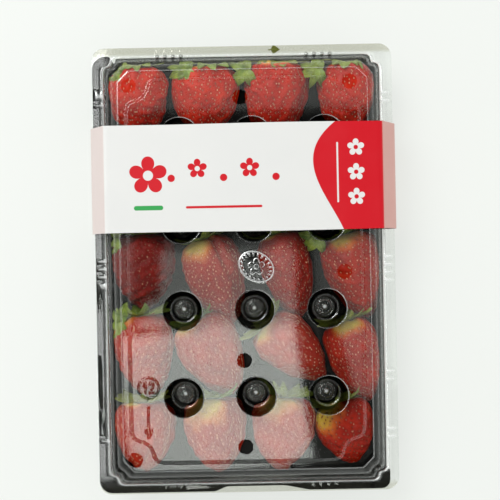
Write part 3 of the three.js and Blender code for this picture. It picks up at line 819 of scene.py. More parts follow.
@dataclass(frozen=True)
class PrintedCard:
    """Varnished white card with a red field, blossoms, dots and bars printed on it, and painted glare on its
    right side.
    """

    white: tuple[float, float, float] = (0.65, 0.65, 0.635)
    red: tuple[float, float, float] = (0.52, 0.004, 0.012)
    glare_pink: tuple[float, float, float] = (0.64, 0.34, 0.3)
    blush: tuple[float, float, float] = (0.58, 0.5, 0.48)
    green: tuple[float, float, float] = (0.03, 0.3, 0.07)
    edge: float = 0.35
    specular: float = 0.25
    coat: float = 0.05

    def inside(self, tree: Tree, distance: object) -> bpy.types.NodeSocket:
        """A mask of 1 where a distance in millimetres is below zero."""
        return tree.math("MULTIPLY_ADD", distance, -1.0 / self.edge, 0.5, clamp=True)

    def blossom(self, tree: Tree, x: object, y: object, spot: tuple[float, float], size: float) -> tuple:
        """The masks of a five-petalled blossom and of its round middle.

        Args:
            tree: the material's tree.
            x: across, in millimetres.
            y: along.
            spot: its middle.
            size: its radius.

        Returns:
            Both masks.
        """
        dx = tree.math("SUBTRACT", x, spot[0])
        dy = tree.math("SUBTRACT", y, spot[1])
        far = tree.length(dx, dy)
        turn = tree.math("ARCTAN2", dx, dy)
        petal = tree.math("ABSOLUTE", tree.math("COSINE", tree.math("MULTIPLY", turn, 2.5)))
        reach = tree.math("MULTIPLY_ADD", tree.math("POWER", petal, 0.55), 0.62 * size, 0.38 * size)
        petals = self.inside(tree, tree.math("SUBTRACT", far, reach))
        middle = self.inside(tree, tree.math("SUBTRACT", far, 0.26 * size))
        return petals, middle

    def bar(self, tree: Tree, x: object, y: object, box: Sequence[float]) -> bpy.types.NodeSocket:
        """The mask of a bar with round ends.

        Args:
            tree: the material's tree.
            x: the coordinate along the bar, in millimetres.
            y: the coordinate across it.
            box: its middle along and across, half its length and half its width.

        Returns:
            The mask.
        """
        cx, cy, half, radius = box
        dx = tree.math("ABSOLUTE", tree.math("SUBTRACT", x, cx))
        over = tree.math("MAXIMUM", tree.math("SUBTRACT", dx, half), 0.0)
        dy = tree.math("SUBTRACT", y, cy)
        return self.inside(tree, tree.math("SUBTRACT", tree.length(over, dy), radius))

    def build(self) -> bpy.types.Material:
        """The material."""
        material, tree, out = new_material("printed card")
        split = tree.add("ShaderNodeSeparateXYZ", {0: tree.place()})
        x = tree.math("MULTIPLY", split.outputs[0], 1000.0)
        y = tree.math("MULTIPLY", split.outputs[1], 1000.0)
        z = tree.math("MULTIPLY", split.outputs[2], 1000.0)
        above = self.inside(tree, tree.math("SUBTRACT", 5.0, z))
        d = tree.math("SUBTRACT", y, 70.0)
        square = tree.math("MULTIPLY", d, d)
        cubic = tree.math("MULTIPLY_ADD", d, 0.0001985, 0.01837)
        field_edge = tree.math("MULTIPLY_ADD", square, cubic, 45.2)
        field = tree.math("MULTIPLY", self.inside(tree, tree.math("SUBTRACT", field_edge, x)), above)
        cream = tree.group(mottle_group(), first=self.white, second=(0.63, 0.632, 0.62), scale=30.0)
        colour = cream.outputs["Color"]
        inked = []
        for spot, size in (((-62.0, 62.0), 12.5), ((-30.0, 66.0), 6.4), ((4.0, 66.0), 6.4)):
            petals, middle = self.blossom(tree, x, y, spot, size)
            inked.append(tree.math("SUBTRACT", petals, middle, clamp=True))
        for spot in ((-47.0, 60.0), (-13.0, 60.0), (21.0, 60.0)):
            inked.append(self.bar(tree, x, y, (*spot, 0.0, 2.4)))
        inked.append(self.bar(tree, x, y, (-13.0, 41.0, 24.0, 0.8)))
        print_mask = inked[0]
        for mask in inked[1:]:
            print_mask = tree.math("MAXIMUM", print_mask, mask)
        colour = tree.mix(tree.math("MULTIPLY", print_mask, above), colour, (*self.red, 1.0))
        sprig = self.bar(tree, x, y, (-62.0, 41.0, 8.0, 1.5))
        colour = tree.mix(tree.math("MULTIPLY", sprig, above), colour, (*self.green, 1.0))
        colour = tree.mix(field, colour, (*self.red, 1.0))
        blank = None
        for spot in ((73.0, 78.0), (73.0, 62.0), (73.0, 46.0)):
            petals, middle = self.blossom(tree, x, y, spot, 5.6)
            mask = tree.math("SUBTRACT", petals, middle, clamp=True)
            blank = mask if blank is None else tree.math("MAXIMUM", blank, mask)
        blank = tree.math("MAXIMUM", blank, self.bar(tree, y, x, (62.0, 61.0, 19.0, 0.55)))
        colour = tree.mix(tree.math("MULTIPLY", blank, above), colour, (*self.white, 1.0))
        # painted glare: the right slanted side is washed pale pink
        beside = tree.math("MULTIPLY", tree.ramp(x, 90.2, 91.0), above)
        colour = tree.mix(beside, colour, (*self.glare_pink, 1.0))
        other = tree.math("MULTIPLY", tree.ramp(x, -90.2, -91.0), above)
        colour = tree.mix(other, colour, (*self.blush, 1.0))
        grain = tree.group(grain_group(), scale=1800.0, coarse=60.0)
        inputs = {
            "Base Color": colour,
            "Roughness": tree.math("MULTIPLY_ADD", grain.outputs["Mask"], 0.08, 0.36),
            "Specular IOR Level": self.specular,
            "Coat Weight": self.coat,
            "Coat Roughness": 0.22,
            "Normal": bump(tree, grain.outputs["Height"], 0.4, 0.05),
        }
        tree.put(out.inputs[0], tree.add("ShaderNodeBsdfPrincipled", inputs).outputs[0])
        return material


@dataclass(frozen=True)
class Backdrop:
    """The pale floor that the pack lies on."""

    colour: tuple[float, float, float] = (0.196, 0.202, 0.194)
    glow: float = 3.3
    rough: float = 0.75

    def build(self) -> bpy.types.Material:
        """The material."""
        material, tree, out = new_material("pale floor")
        shade = tuple(0.985 * c for c in self.colour)
        mottle = tree.group(mottle_group(), first=self.colour, second=shade, scale=3.0)
        inputs = {
            "Base Color": mottle.outputs["Color"],
            "Roughness": self.rough,
            "Emission Color": mottle.outputs["Color"],
            "Emission Strength": self.glow,
        }
        tree.put(out.inputs[0], tree.add("ShaderNodeBsdfPrincipled", inputs).outputs[0])
        return material


# ------------------------------------------------------------------ the clear lid
Height = Callable[[np.ndarray, np.ndarray], np.ndarray]


@dataclass(frozen=True)
class Relief:
    """A raised figure on the panel, over a fine grid: its rectangle, the grid's step and its height."""

    low: tuple[float, float]
    high: tuple[float, float]
    step: float
    height: Height
    # painted highlights laid as frost over the figure, when given
    cloud: Height | None = None

    def place(self, maker: MeshMaker) -> np.ndarray:
        """Adds the grid and returns the places of its border, counter-clockwise.

        Args:
            maker: the mesh that takes them.

        Returns:
            The places of the border's points.
        """
        xs = np.linspace(self.low[0], self.high[0], round((self.high[0] - self.low[0]) / self.step) + 1)
        ys = np.linspace(self.low[1], self.high[1], round((self.high[1] - self.low[1]) / self.step) + 1)
        gx, gy = np.meshgrid(xs, ys)
        rise = self.height(gx, gy)
        edge = np.minimum.reduce([gx - xs[0], xs[-1] - gx, gy - ys[0], ys[-1] - gy])
        z = PANEL_Z + rise * smooth_step(0.9 * self.step, 2.6 * self.step, edge)
        points = np.stack([gx, gy, z], axis=-1)
        frost = self.cloud(gx, gy).ravel() if self.cloud else 0.0
        ids = maker.add(points.reshape(-1, 3), frost=frost).reshape(len(ys), len(xs))
        for lower, upper in zip(ids, ids[1:]):
            maker.bridge(lower, upper, closed=False)
        return np.concatenate([ids[0, :-1], ids[:-1, -1], ids[-1, :0:-1], ids[:0:-1, 0]])


@dataclass(frozen=True)
class Medal:
    """A plain oval medal in low relief: a five-petalled blossom in a ring of beads."""

    middle: tuple[float, float] = (7.1, 1.8)
    half: tuple[float, float] = (12.0, 9.2)
    turn: float = -32.0
    petals: int = 5
    petal_reach: tuple[float, float] = (2.2, 3.6)
    beads: int = 20
    bead_ring: tuple[float, float] = (0.83, 0.07)

    def places(self, x: np.ndarray, y: np.ndarray) -> tuple[np.ndarray, np.ndarray, np.ndarray, np.ndarray]:
        """Where points lie on the medal.

        Args:
            x: the points' places across the pack.
            y: the points' places along the pack.

        Returns:
            How far out each is in the oval, how deep in the blossom, how far from the middle and in a bead.
        """
        turn = math.radians(self.turn)
        dx, dy = x - self.middle[0], y - self.middle[1]
        along = (dx * math.cos(turn) + dy * math.sin(turn)) / self.half[0]
        across = (-dx * math.sin(turn) + dy * math.cos(turn)) / self.half[1]
        share, far = np.hypot(along, across), np.hypot(dx, dy)
        ray = np.abs(np.cos(0.5 * self.petals * np.arctan2(dx, dy)))
        petal = self.petal_reach[0] + self.petal_reach[1] * ray**0.55 - far
        ring = np.exp(-(((share - self.bead_ring[0]) / self.bead_ring[1]) ** 2))
        bead = smooth_step(-0.1, 0.7, np.cos(self.beads * np.arctan2(across, along))) * ring
        return share, petal, far, bead

    def height(self, x: np.ndarray, y: np.ndarray) -> np.ndarray:
        """The height of the medal over the panel.

        Args:
            x: the points' places across the pack.
            y: the points' places along the pack.

        Returns:
            The heights.
        """
        share, petal, far, bead = self.places(x, y)
        body = 0.6 * smooth_step(1.03, 0.9, share) + 0.15 * (1.0 - share.clip(0.0, 1.0) ** 2)
        blossom = body + 0.35 * smooth_step(0.0, 1.0, petal) + 0.2 * smooth_step(1.8, 0.8, far)
        return blossom + 0.3 * bead

    def cloud(self, x: np.ndarray, y: np.ndarray) -> np.ndarray:
        """Painted highlights on the medal, laid as frost: its beads and edges are painted bright.

        Args:
            x: the points' places across the pack.
            y: the points' places along the pack.

        Returns:
            The painted highlight at each point.
        """
        share, petal, far, bead = self.places(x, y)
        rim = 0.8 * np.exp(-(((share - 1.0) / 0.035) ** 2))
        edges = 0.8 * np.exp(-(((petal - 0.3) / 0.3) ** 2))
        middle = 0.7 * np.exp(-(((far - 1.5) / 0.3) ** 2))
        return np.maximum.reduce([rim, edges, middle, 0.8 * bead])


NUMBER_AT = (-64.2, -75.8)
NUMBER_RING = 6.6
NUMBER_ONE = ((-3.4, 1.6), (-2.0, 3.3), (-2.0, -3.3))
NUMBER_TWO = ((0.6, 2.1), (1.3, 3.2), (2.6, 3.2), (3.3, 2.1), (3.0, 0.9), (0.6, -3.2), (3.7, -3.2))
ARROW_LINE = ((-64.5, -88.4), (-64.6, -103.2))
ARROW_HEAD = ((-66.6, -103.2), (-62.6, -103.2), (-64.6, -108.0), (-66.6, -103.2))
LINE_RISE = 0.25
LINE_REACH = 0.8


def number_height(x: np.ndarray, y: np.ndarray) -> np.ndarray:
    """A ring with a plain number in it.

    Args:
        x: the points' places across the pack.
        y: the points' places along the pack.

    Returns:
        The heights.
    """
    dx, dy = x - NUMBER_AT[0], y - NUMBER_AT[1]
    ring = smooth_step(0.75, 0.0, np.abs(np.hypot(dx, dy) - NUMBER_RING))
    digits = np.minimum(stroke(dx, dy, NUMBER_ONE), stroke(dx, dy, NUMBER_TWO))
    return LINE_RISE * np.maximum(ring, smooth_step(LINE_REACH, 0.0, digits))


def arrow_height(x: np.ndarray, y: np.ndarray) -> np.ndarray:
    """A long arrow with an open head."""
    line = np.minimum(stroke(x, y, ARROW_LINE), stroke(x, y, ARROW_HEAD))
    return LINE_RISE * smooth_step(LINE_REACH, 0.0, line)


# The lid's sloping wall: share of the way in, height, frost with painted highlights and dullness.
WALL_STEPS = (
    (0.02, 31.0, 0.0, 0.0), (0.03, 31.2, 0.0, 0.3), (0.05, 31.9, 0.1, 0.6), (0.1, 33.0, 0.25, 0.6),
    (0.16, 34.2, 0.35, 0.6), (0.2, 35.2, 0.05, 0.6), (0.23, 35.8, 0.2, 0.6), (0.27, 36.6, 0.0, 0.6),
    (0.38, 38.8, 0.0, 0.6), (0.5, 41.1, 0.0, 0.6), (0.53, 41.7, 0.05, 0.5), (0.55, 41.95, 0.4, 0.2),
    (0.57, 42.1, 0.1, 0.0), (0.62, 42.25, 0.0, 0.0), (0.65, 42.5, 0.05, 0.3), (0.675, 43.0, 0.0, 0.6),
    (0.8, 45.0, 0.0, 0.6), (0.93, 47.0, 0.0, 0.6), (0.965, 47.4, 0.1, 0.4), (0.985, 47.64, 0.35, 0.1),
)
# The flat ledge at its top: how far in, height and frost with painted highlights.
LEDGE_STEPS = ((0.35, 47.78, 0.15), (0.65, LEDGE_Z, 0.0), (0.95, LEDGE_Z, 0.0))
# The slope from the ledge up to the panel: how far outside the panel's line, height and frost with painted
# highlights.
PANEL_STEPS = (
    (2.3, LEDGE_Z, 0.0), (2.0, LEDGE_Z, 0.0), (1.75, 47.84, 0.03), (1.5, 48.0, 0.1), (1.2, 48.4, 0.0),
    (0.7, 49.1, 0.0), (0.2, 49.7, 0.03), (-0.15, 49.93, 0.08), (-0.5, PANEL_Z, 0.0), (-0.8, PANEL_Z, 0.0),
)
# A well from the panel down to its floor: radius, height, frost with painted highlights and dullness.
WELL_STEPS = (
    (13.5, 50.0, 0.0, 0.0), (13.2, 50.0, 0.0, 0.0), (12.95, 49.93, 0.0, 0.0), (12.75, 49.7, 0.0, 0.0),
    (12.6, 49.2, 0.05, 0.7), (12.0, 46.8, 0.0, 0.92), (10.9, 42.8, 0.0, 0.92), (9.7, 38.4, 0.0, 0.92),
    (9.1, 36.3, 0.0, 0.9), (8.75, 35.75, 0.12, 0.5), (8.3, 35.55, 0.0, 0.5), (7.8, 35.45, 0.1, 0.5),
    (7.5, 35.1, 0.0, 0.8), (7.3, 34.3, 0.0, 0.92), (6.95, 30.0, 0.0, 0.92), (6.6, 27.0, 0.0, 0.92),
    (6.35, 26.2, 0.1, 0.6), (5.9, 25.85, 0.0, 0.5), (5.2, 25.8, 0.0, 0.5), (4.9, 25.95, 0.0, 0.5),
    (4.7, 26.4, 0.3, 0.5), (4.4, 26.6, 0.3, 0.4), (4.0, 26.6, 0.1, 0.4), (3.75, 26.3, 0.0, 0.5),
    (3.5, 25.9, 0.0, 0.5), (3.1, 25.8, 0.0, 0.5), (2.5, 25.8, 0.0, 0.5), (2.15, 26.0, 0.05, 0.5),
    (1.95, 26.9, 0.1, 0.3), (1.7, 27.25, 0.25, 0.0), (1.2, 27.4, 0.6, 0.0), (0.5, 27.45, 0.8, 0.0),
)


@dataclass
class Lid:
    """The clear formed lid: flange, bead, lugs, sloping wall, ledge, panel, wells and vents."""

    bead: float = 1.5
    lug: tuple[float, float] = (1.35, 1.5)
    lug_x: float = 91.3
    bump: tuple[float, float] = (1.25, 142.1)
    panel_x: float = 75.3
    panel_y: float = 124.1
    notch: float = 17.0
    well_sides: int = 38
    vent_sides: int = 36
    well_floor: float = 27.45
    # how dark the painted shade on the wells' steep walls is
    painted_well_shade: float = 0.62
    slope_dull: float = 0.55

    def lug_share(self, ring: np.ndarray) -> np.ndarray:
        """How much of a lug's full height stands at each point of a flange ring.

        Args:
            ring: the ring's points.

        Returns:
            The share at each point.
        """
        x, y = np.abs(ring[:, 0]), np.abs(ring[:, 1])
        side = np.abs(ring[:, 1][:, None] - np.array(SIDE_LUGS)).min(axis=1)
        end = np.abs(ring[:, 0][:, None] - np.array(END_LUGS)).min(axis=1)
        on_side = smooth_step(98.3, 97.0, x) * smooth_step(self.lug_x, 92.2, x)
        bar = on_side * (1.0 - smooth_step(0.15, self.lug[0], side))
        dome = np.sqrt(np.clip(1.0 - (self.bump_distance(ring) / self.bump[0]) ** 2, 0.0, 1.0))
        on_end = smooth_step(147.0, 146.0, y) * smooth_step(143.4, 144.4, y)
        ripple = on_end * (1.0 - smooth_step(0.15, 1.6, end))
        rise = np.maximum(bar, np.maximum(0.8 * dome, 0.12 * ripple))
        return np.where((x > self.lug_x) | (y > TUB_TOP.y), rise, 0.0)

    def bump_distance(self, ring: np.ndarray) -> np.ndarray:
        """How far each point of a flange ring is from the middle of the nearest round bump."""
        end = np.abs(ring[:, 0][:, None] - np.array(END_LUGS)).min(axis=1)
        return np.hypot(end, np.abs(ring[:, 1]) - self.bump[1])

    def flange_rings(self) -> list[tuple[np.ndarray, np.ndarray, np.ndarray, np.ndarray]]:
        """The flange's rings with its bead and lugs, from the edge in.

        Returns:
            For each ring its points, its frost with painted highlights, its warm tint and its painted shade.
        """
        edge, inner = flange_ring(0.0), flange_ring(1.7)
        foot = BEAD_EDGE.ring()
        rings = [(edge, -0.45, 0.0), (flange_ring(0.25), 0.0, 0.1)]
        rings += [(flange_ring(0.9), 0.0, 0.0), (inner, 0.0, 0.0)]
        rings += [(inner + share * (foot - inner), 0.0, 0.0) for share in (0.25, 0.5, 0.75)]
        shares = (0.0, 0.08, 0.18, 0.32, 0.48, 0.64, 0.78, 0.88, 0.95, 1.0)
        for share in shares:
            crown = math.sin(math.pi * share) ** 0.7 if 0.0 < share < 1.0 else 0.0
            # painted highlight along the bead, laid as frost
            cloud = 0.7 * math.exp(-(((share - 0.7) / 0.22) ** 2))
            rings.append((BEAD_EDGE.blend(TUB_TOP.inset(0.1), share).ring(), self.bead * crown, cloud))
        made = []
        for ring, rise, cloud in rings:
            lugs = self.lug_share(ring)
            height = LID_FLANGE_TOP + rise + lugs * (self.lug[1] - 0.5 * max(rise, 0.0))
            beside = np.abs(ring[:, 0]) > self.lug_x
            warm = np.where(ring[:, 1] > 0.0, 1.0, 0.7) * smooth_step(142.6, 144.2, np.abs(ring[:, 1]))
            # painted highlight on the lugs, laid as frost
            frosted_highlight = np.clip(cloud + 0.8 * smooth_step(0.45, 0.9, lugs) * beside, 0.0, 1.0)
            # painted shade: a dark ring round each bump on the far flange stands in for its refraction
            dark = 0.9 * np.exp(-(((self.bump_distance(ring) - 0.95) / 0.3) ** 2)) * (ring[:, 1] > 0.0)
            made.append((at_height(ring, height), frosted_highlight, warm, dark))
        return made

    def wall_rings(self) -> tuple[list[np.ndarray], list[float], list[float]]:
        """The rings of the sloping wall, from its foot up to the ledge.

        Returns:
            The rings, and each ring's frost with painted highlights and how dull it is.
        """
        rings = [at_height(TUB_TOP.blend(LEDGE, share).ring(), z) for share, z, _, _ in WALL_STEPS]
        rings += [at_height(LEDGE.inset(inset).ring(), z) for inset, z, _ in LEDGE_STEPS]
        frost = [cloud for _, _, cloud, _ in WALL_STEPS] + [cloud for _, _, cloud in LEDGE_STEPS]
        dull = [flat for _, _, _, flat in WALL_STEPS] + [0.0 for _ in LEDGE_STEPS]
        return rings, frost, dull

    def panel_ring(self, outset: float) -> np.ndarray:
        """The panel's outline, with each corner cut back in an S, moved out by a distance.

        Args:
            outset: the distance.

        Returns:
            The ring's points.
        """
        n = self.notch
        curve = np.array([(0, 1), (0.08, 0.93), (0.2, 0.865), (0.4, 0.82), (0.56, 0.74), (0.66, 0.66)])
        curve = np.vstack([curve, curve[::-1][1:, ::-1]])
        corner = np.column_stack([self.panel_x - curve[:, 0] * n, self.panel_y - curve[:, 1] * n])
        corner = resample(corner, 24)
        side = np.linspace(-(self.panel_y - n), self.panel_y - n, 30)[1:-1]
        end = np.linspace(self.panel_x - n, -(self.panel_x - n), 20)[1:-1]
        half = np.vstack([
            np.column_stack([np.full(len(side), self.panel_x), side]),
            corner,
            np.column_stack([end, np.full(len(end), self.panel_y)]),
            corner[::-1] * (-1, 1),
        ])
        loop = rounded(np.vstack([half, -half]), 3)
        ahead = np.roll(loop, -1, axis=0) - np.roll(loop, 1, axis=0)
        ahead /= np.linalg.norm(ahead, axis=1)[:, None]
        return loop + outset * np.column_stack([ahead[:, 1], -ahead[:, 0]])

    def well_rings(self, x: float, y: float) -> tuple[list[np.ndarray], list, list[float]]:
        """The rings of one well, from the panel down to its floor.

        Args:
            x: its middle across the pack.
            y: its middle along it.

        Returns:
            The rings, and each ring's frost with painted highlights and how dull it is.
        """
        rings = [at_height(circle(x, y, radius, self.well_sides), z) for radius, z, _, _ in WELL_STEPS]
        turn = np.linspace(0.0, 2.0 * math.pi, self.well_sides, endpoint=False)
        frosted_highlight = [cloud for _, _, cloud, _ in WELL_STEPS]
        # painted highlight round the well's lip, brighter on one side
        frosted_highlight[2] = frosted_highlight[3] = 0.25 + 0.6 * np.maximum(np.cos(turn - 0.7), 0.0)
        return rings, frosted_highlight, [flat for _, _, _, flat in WELL_STEPS]

    def vents(self, maker: MeshMaker, spots: Sequence[tuple[float, float]], z: float) -> list[np.ndarray]:
        """Adds the edge of a vent hole at each spot."""
        return [maker.add(at_height(circle(x, y, VENT_RADIUS, self.vent_sides), z)) for x, y in spots]

    def build(self, material: bpy.types.Material) -> bpy.types.Object:
        """Makes the lid and dresses it.

        Args:
            material: its material.

        Returns:
            The lid.
        """
        maker = MeshMaker()
        flange = [maker.add(ring, frost=c, warm=w, shade=d) for ring, c, w, d in self.flange_rings()]
        for outer, inner in zip(flange, flange[1:]):
            maker.bridge(outer, inner)
        rings, frosted_highlight, dull = self.wall_rings()
        wall = maker.loft(rings, frost=frosted_highlight, dull=dull)
        maker.bridge(flange[-1], wall[0])
        rings = [at_height(self.panel_ring(outset), z) for outset, z, _ in PANEL_STEPS]
        flat = [self.slope_dull if LEDGE_Z < z < PANEL_Z else 0.0 for _, z, _ in PANEL_STEPS]
        step = maker.loft(rings, frost=[cloud for _, _, cloud in PANEL_STEPS], dull=flat)
        maker.fill(wall[-1], [step[0], *self.vents(maker, LEDGE_VENTS, LEDGE_Z)])
        holes = self.vents(maker, PANEL_VENTS, PANEL_Z)
        for x, y in WELL_CENTRES:
            rings, frosted_highlight, dull = self.well_rings(x, y)
            # painted shade on each well's steep wall, standing in for dark reflections
            shade = [self.painted_well_shade if 36.0 < ring[0, 2] < 49.4 else 0.0 for ring in rings]
            well = maker.loft(rings, frost=frosted_highlight, dull=dull, shade=shade)
            # painted highlight at the middle of each well's floor
            maker.fan(well[-1], (x, y, self.well_floor), frost=0.8)
            holes.append(well[0])
        medal = Medal()
        reliefs = (
            Relief((-6.4, -10.4), (20.6, 14.2), 0.45, medal.height, medal.cloud),
            Relief((-72.4, -83.9), (-56.0, -67.6), 0.33, number_height),
            Relief((-68.0, -109.4), (-61.2, -87.0), 0.42, arrow_height),
        )
        holes += [relief.place(maker) for relief in reliefs]
        maker.fill(step[-1], holes)
        lid = maker.make("clear_lid")
        thicken(lid, PLASTIC)
        settle(lid, material, Slot.CLEAR, "lid")
        return lid


# ------------------------------------------------------------------ base and tray
@dataclass
class Base:
    """The clear tub: flange, walls and a floor with four feet."""

    foot: tuple[float, float, float, float] = (62.0, 117.0, 17.0, 13.0)

    def foot_ring(self, x: float, y: float, grow: float) -> np.ndarray:
        """The rounded outline of one foot.

        Args:
            x: its middle across the pack.
            y: its middle along it.
            grow: how far outside its line.

        Returns:
            The ring's points.
        """
        half_x, half_y, radius = self.foot[2] + grow, self.foot[3] + grow, 3.0 + grow
        points = []
        for k, (sx, sy) in enumerate(((1, 1), (-1, 1), (-1, -1), (1, -1))):
            turn = np.linspace(k, k + 1, 7) * math.pi / 2.0
            cx, cy = x + sx * (half_x - radius), y + sy * (half_y - radius)
            points.append(np.column_stack([cx + radius * np.cos(turn), cy + radius * np.sin(turn)]))
        return np.vstack(points)

    def build(self, material: bpy.types.Material) -> bpy.types.Object:
        """Makes the base and dresses it.

        Args:
            material: its material.

        Returns:
            The base.
        """
        maker = MeshMaker()
        edge = ((0.0, 28.9), (0.3, BASE_FLANGE_TOP), (8.0, BASE_FLANGE_TOP))
        flange = maker.loft([at_height(flange_ring(inset), z) for inset, z in edge])
        top, foot = TUB_TOP.inset(PLASTIC), TUB_FOOT.inset(PLASTIC)
        steps = (
            (0.0, BASE_FLANGE_TOP), (0.01, 28.9), (0.04, 28.0), (0.3, 21.0),
            (0.6, 13.0), (0.93, 4.0), (0.985, 2.7),
        )
        rings = [at_height(top.blend(foot, share).ring(), z) for share, z in steps]
        floor = ((0.5, 2.3), (1.2, BASE_FLOOR_TOP), (2.0, BASE_FLOOR_TOP))
        rings += [at_height(foot.inset(inset).ring(), z) for inset, z in floor]
        wall = maker.loft(rings)
        maker.bridge(flange[-1], wall[0])
        feet = []
        drop = (
            (1.0, BASE_FLOOR_TOP), (0.4, 2.15), (0.0, 1.9),
            (-0.5, 0.85), (-0.9, PLASTIC), (-1.5, PLASTIC),
        )
        for sx in (-1, 1):
            for sy in (-1, 1):
                spot = (sx * self.foot[0], sy * self.foot[1])
                pad = maker.loft([at_height(self.foot_ring(*spot, grow), z) for grow, z in drop])
                maker.fan(pad[-1], (*spot, PLASTIC))
                feet.append(pad[0])
        maker.fill(wall[-1], feet)
        base = maker.make("clear_base")
        thicken(base, PLASTIC)
        settle(base, material, Slot.CLEAR, "base")
        return base


@dataclass
class NestTray:
    """The black tray inside the base: a partial rim, walls, floor and a post under each well."""

    post: tuple[float, float] = (9.4, 6.8)
    post_top: float = 24.9
    sides: tuple[float, float] = (-99.5, 94.0)
    ends: tuple[float, float] = (-147.7, 143.1)

    def rim_path(self) -> np.ndarray:
        """The rim's outer edge, counter-clockwise: wide at the left and by three corners, else a strip.

        Returns:
            The edge's corners and arcs.
        """
        left, right = self.sides
        front, back = self.ends
        wide, tight = 8.5, 5.5
        strip = TUB_TOP.inset(-0.4)
        corner = strip.corner_path()
        back_left = corner[::-1] * (-1, 1)

        def arc(cx: float, cy: float, radius: float, start: float) -> np.ndarray:
            """A quarter circle of the rim's corner."""
            turn = np.radians(np.linspace(start, start + 90.0, 12))
            return np.column_stack([cx + radius * np.cos(turn), cy + radius * np.sin(turn)])

        paths = [
            corner,
            back_left[back_left[:, 0] > -84.4],
            [(-84.6, 137.6), (-87.8, back)],
            arc(left + wide, back - wide, wide, 90.0),
            arc(left + wide, front + wide, wide, 180.0),
            [(-22.5, front), (-15.0, -144.5), (24.0, -144.5), (40.0, front)],
            arc(right - tight, front + tight, tight, 270.0),
            [(right, -134.5), (strip.x, -134.5)],
        ]
        return np.vstack([np.asarray(p, float) for p in paths])

    def build(self, material: bpy.types.Material) -> bpy.types.Object:
        """Makes the tray and dresses it.

        Args:
            material: its material.

        Returns:
            The tray.
        """
        maker = MeshMaker()
        path = self.rim_path()
        rim = maker.add(at_height(resample(np.vstack([path, path[:1]]), 420)[:-1], RIM_TOP))
        top, foot = TUB_TOP.inset(1.5), TUB_FOOT.inset(1.5)
        rings = [at_height(top.inset(d).ring(), z) for d, z in ((-0.5, RIM_TOP), (-0.2, 30.05), (0.0, 29.7))]
        steps = ((0.03, 28.6), (0.3, 21.6), (0.6, 13.9), (0.92, 5.0), (0.975, 3.7))
        rings += [at_height(top.blend(foot, share).ring(), z) for share, z in steps]
        rings += [at_height(foot.inset(d).ring(), z) for d, z in ((0.3, 3.25), (1.1, TRAY_FLOOR_TOP))]
        wall = maker.loft(rings)
        maker.fill(rim, [wall[0]])
        wide, narrow = self.post
        profile = (
            (wide + 1.3, TRAY_FLOOR_TOP), (wide + 0.5, 3.2), (wide, 3.9),
            (narrow + 0.35, 22.0), (narrow, 24.3), (narrow - 0.7, self.post_top),
        )
        posts = []
        for x, y in WELL_CENTRES:
            ring = maker.loft([at_height(circle(x, y, radius, 32), z) for radius, z in profile])
            maker.fan(ring[-1], (x, y, self.post_top))
            posts.append(ring[0])
        maker.fill(wall[-1], posts)
        tray = maker.make("nest_tray_shell")
        thicken(tray, PLASTIC)
        settle(tray, material, Slot.BLACK, "nest_tray")
        return tray


# ------------------------------------------------------------------ strawberries
@dataclass(frozen=True)
class Berry:
    """One berry on its side: middle of its calyx, tip, width and how its skin is."""

    calyx: tuple[float, float]
    tip: tuple[float, float]
    width: float
    ripeness: Ripeness
    pale: float = 0.1
    pale_turn: float = 2.5
    cleft: tuple[float, float, float] = (0.0, 0.0, 1.0)
    folds: float = 0.0
    age: float = 0.25


B, R, D, P = Ripeness.BRIGHT, Ripeness.RIPE, Ripeness.DEEP, Ripeness.PALE
BERRIES = (
    Berry((-71, 136), (-69, 88), 41.5, B, 0.05, age=0.42),
    Berry((-22.5, 136.5), (-27, 86), 44.5, B, 0.13, 1.9, age=0.45),
    Berry((25, 138), (20.5, 84), 44, B, 0.16, 2.1, folds=1.3, age=0.45),
    Berry((71, 136.5), (69.5, 84), 41, B, 0.12, 2.2, age=0.45),
    Berry((-66, 80), (-69, 31), 41, D, 0.1),
    Berry((-23, 79), (-21.5, 32), 42.5, B, 0.2),
    Berry((24, 80), (31, 30), 43, B, 0.1),
    Berry((71, 79), (71, 31), 39, P, 0.2),
    Berry((-68.5, 24.5), (-68, -26), 43.5, D, 0.0, age=0.95),
    Berry((-28, 20.5), (-8.5, -37), 39.5, P, 0.26, 2.25, cleft=(1.05, 3.4, 0.42), age=0.15),
    Berry((22.5, 23), (36, -34.5), 36, R, 0.07, age=0.5),
    Berry((66, 22), (83, -35), 41, R, 0.22, 1.8, age=0.5),
    Berry((-71, -30), (-66, -86), 39, P, 0.26, 2.8, age=0.05),
    Berry((-33, -33), (-9, -84.5), 43, P, 0.2, 2.4, age=0.0),
    Berry((13.5, -36.5), (52.5, -74.5), 39, P, 0.22, 2.2, age=0.0),
    Berry((66, -36), (82, -91), 36, R, 0.2, 1.7, age=0.4),
    Berry((-70.5, -87.5), (-69.5, -136), 41.5, P, 0.14, age=0.0),
    Berry((-24, -86), (-20, -137), 43, P, 0.38, 1.7, age=0.0),
    Berry((25, -86), (20.5, -137), 44, P, 0.36, 1.9, age=0.0),
    Berry((61, -90), (72, -132.5), 38.5, R, 0.42, 2.5, age=0.9),
)

PROFILE_ALONG = (0.035, 0.02, 0.005, 0.012, 0.05, 0.13, 0.27, 0.43, 0.6, 0.76, 0.885, 0.955, 0.99, 1.0)
PROFILE_SHARE = (0.0, 0.16, 0.36, 0.58, 0.79, 0.93, 1.0, 0.965, 0.85, 0.665, 0.435, 0.255, 0.11, 0.0)


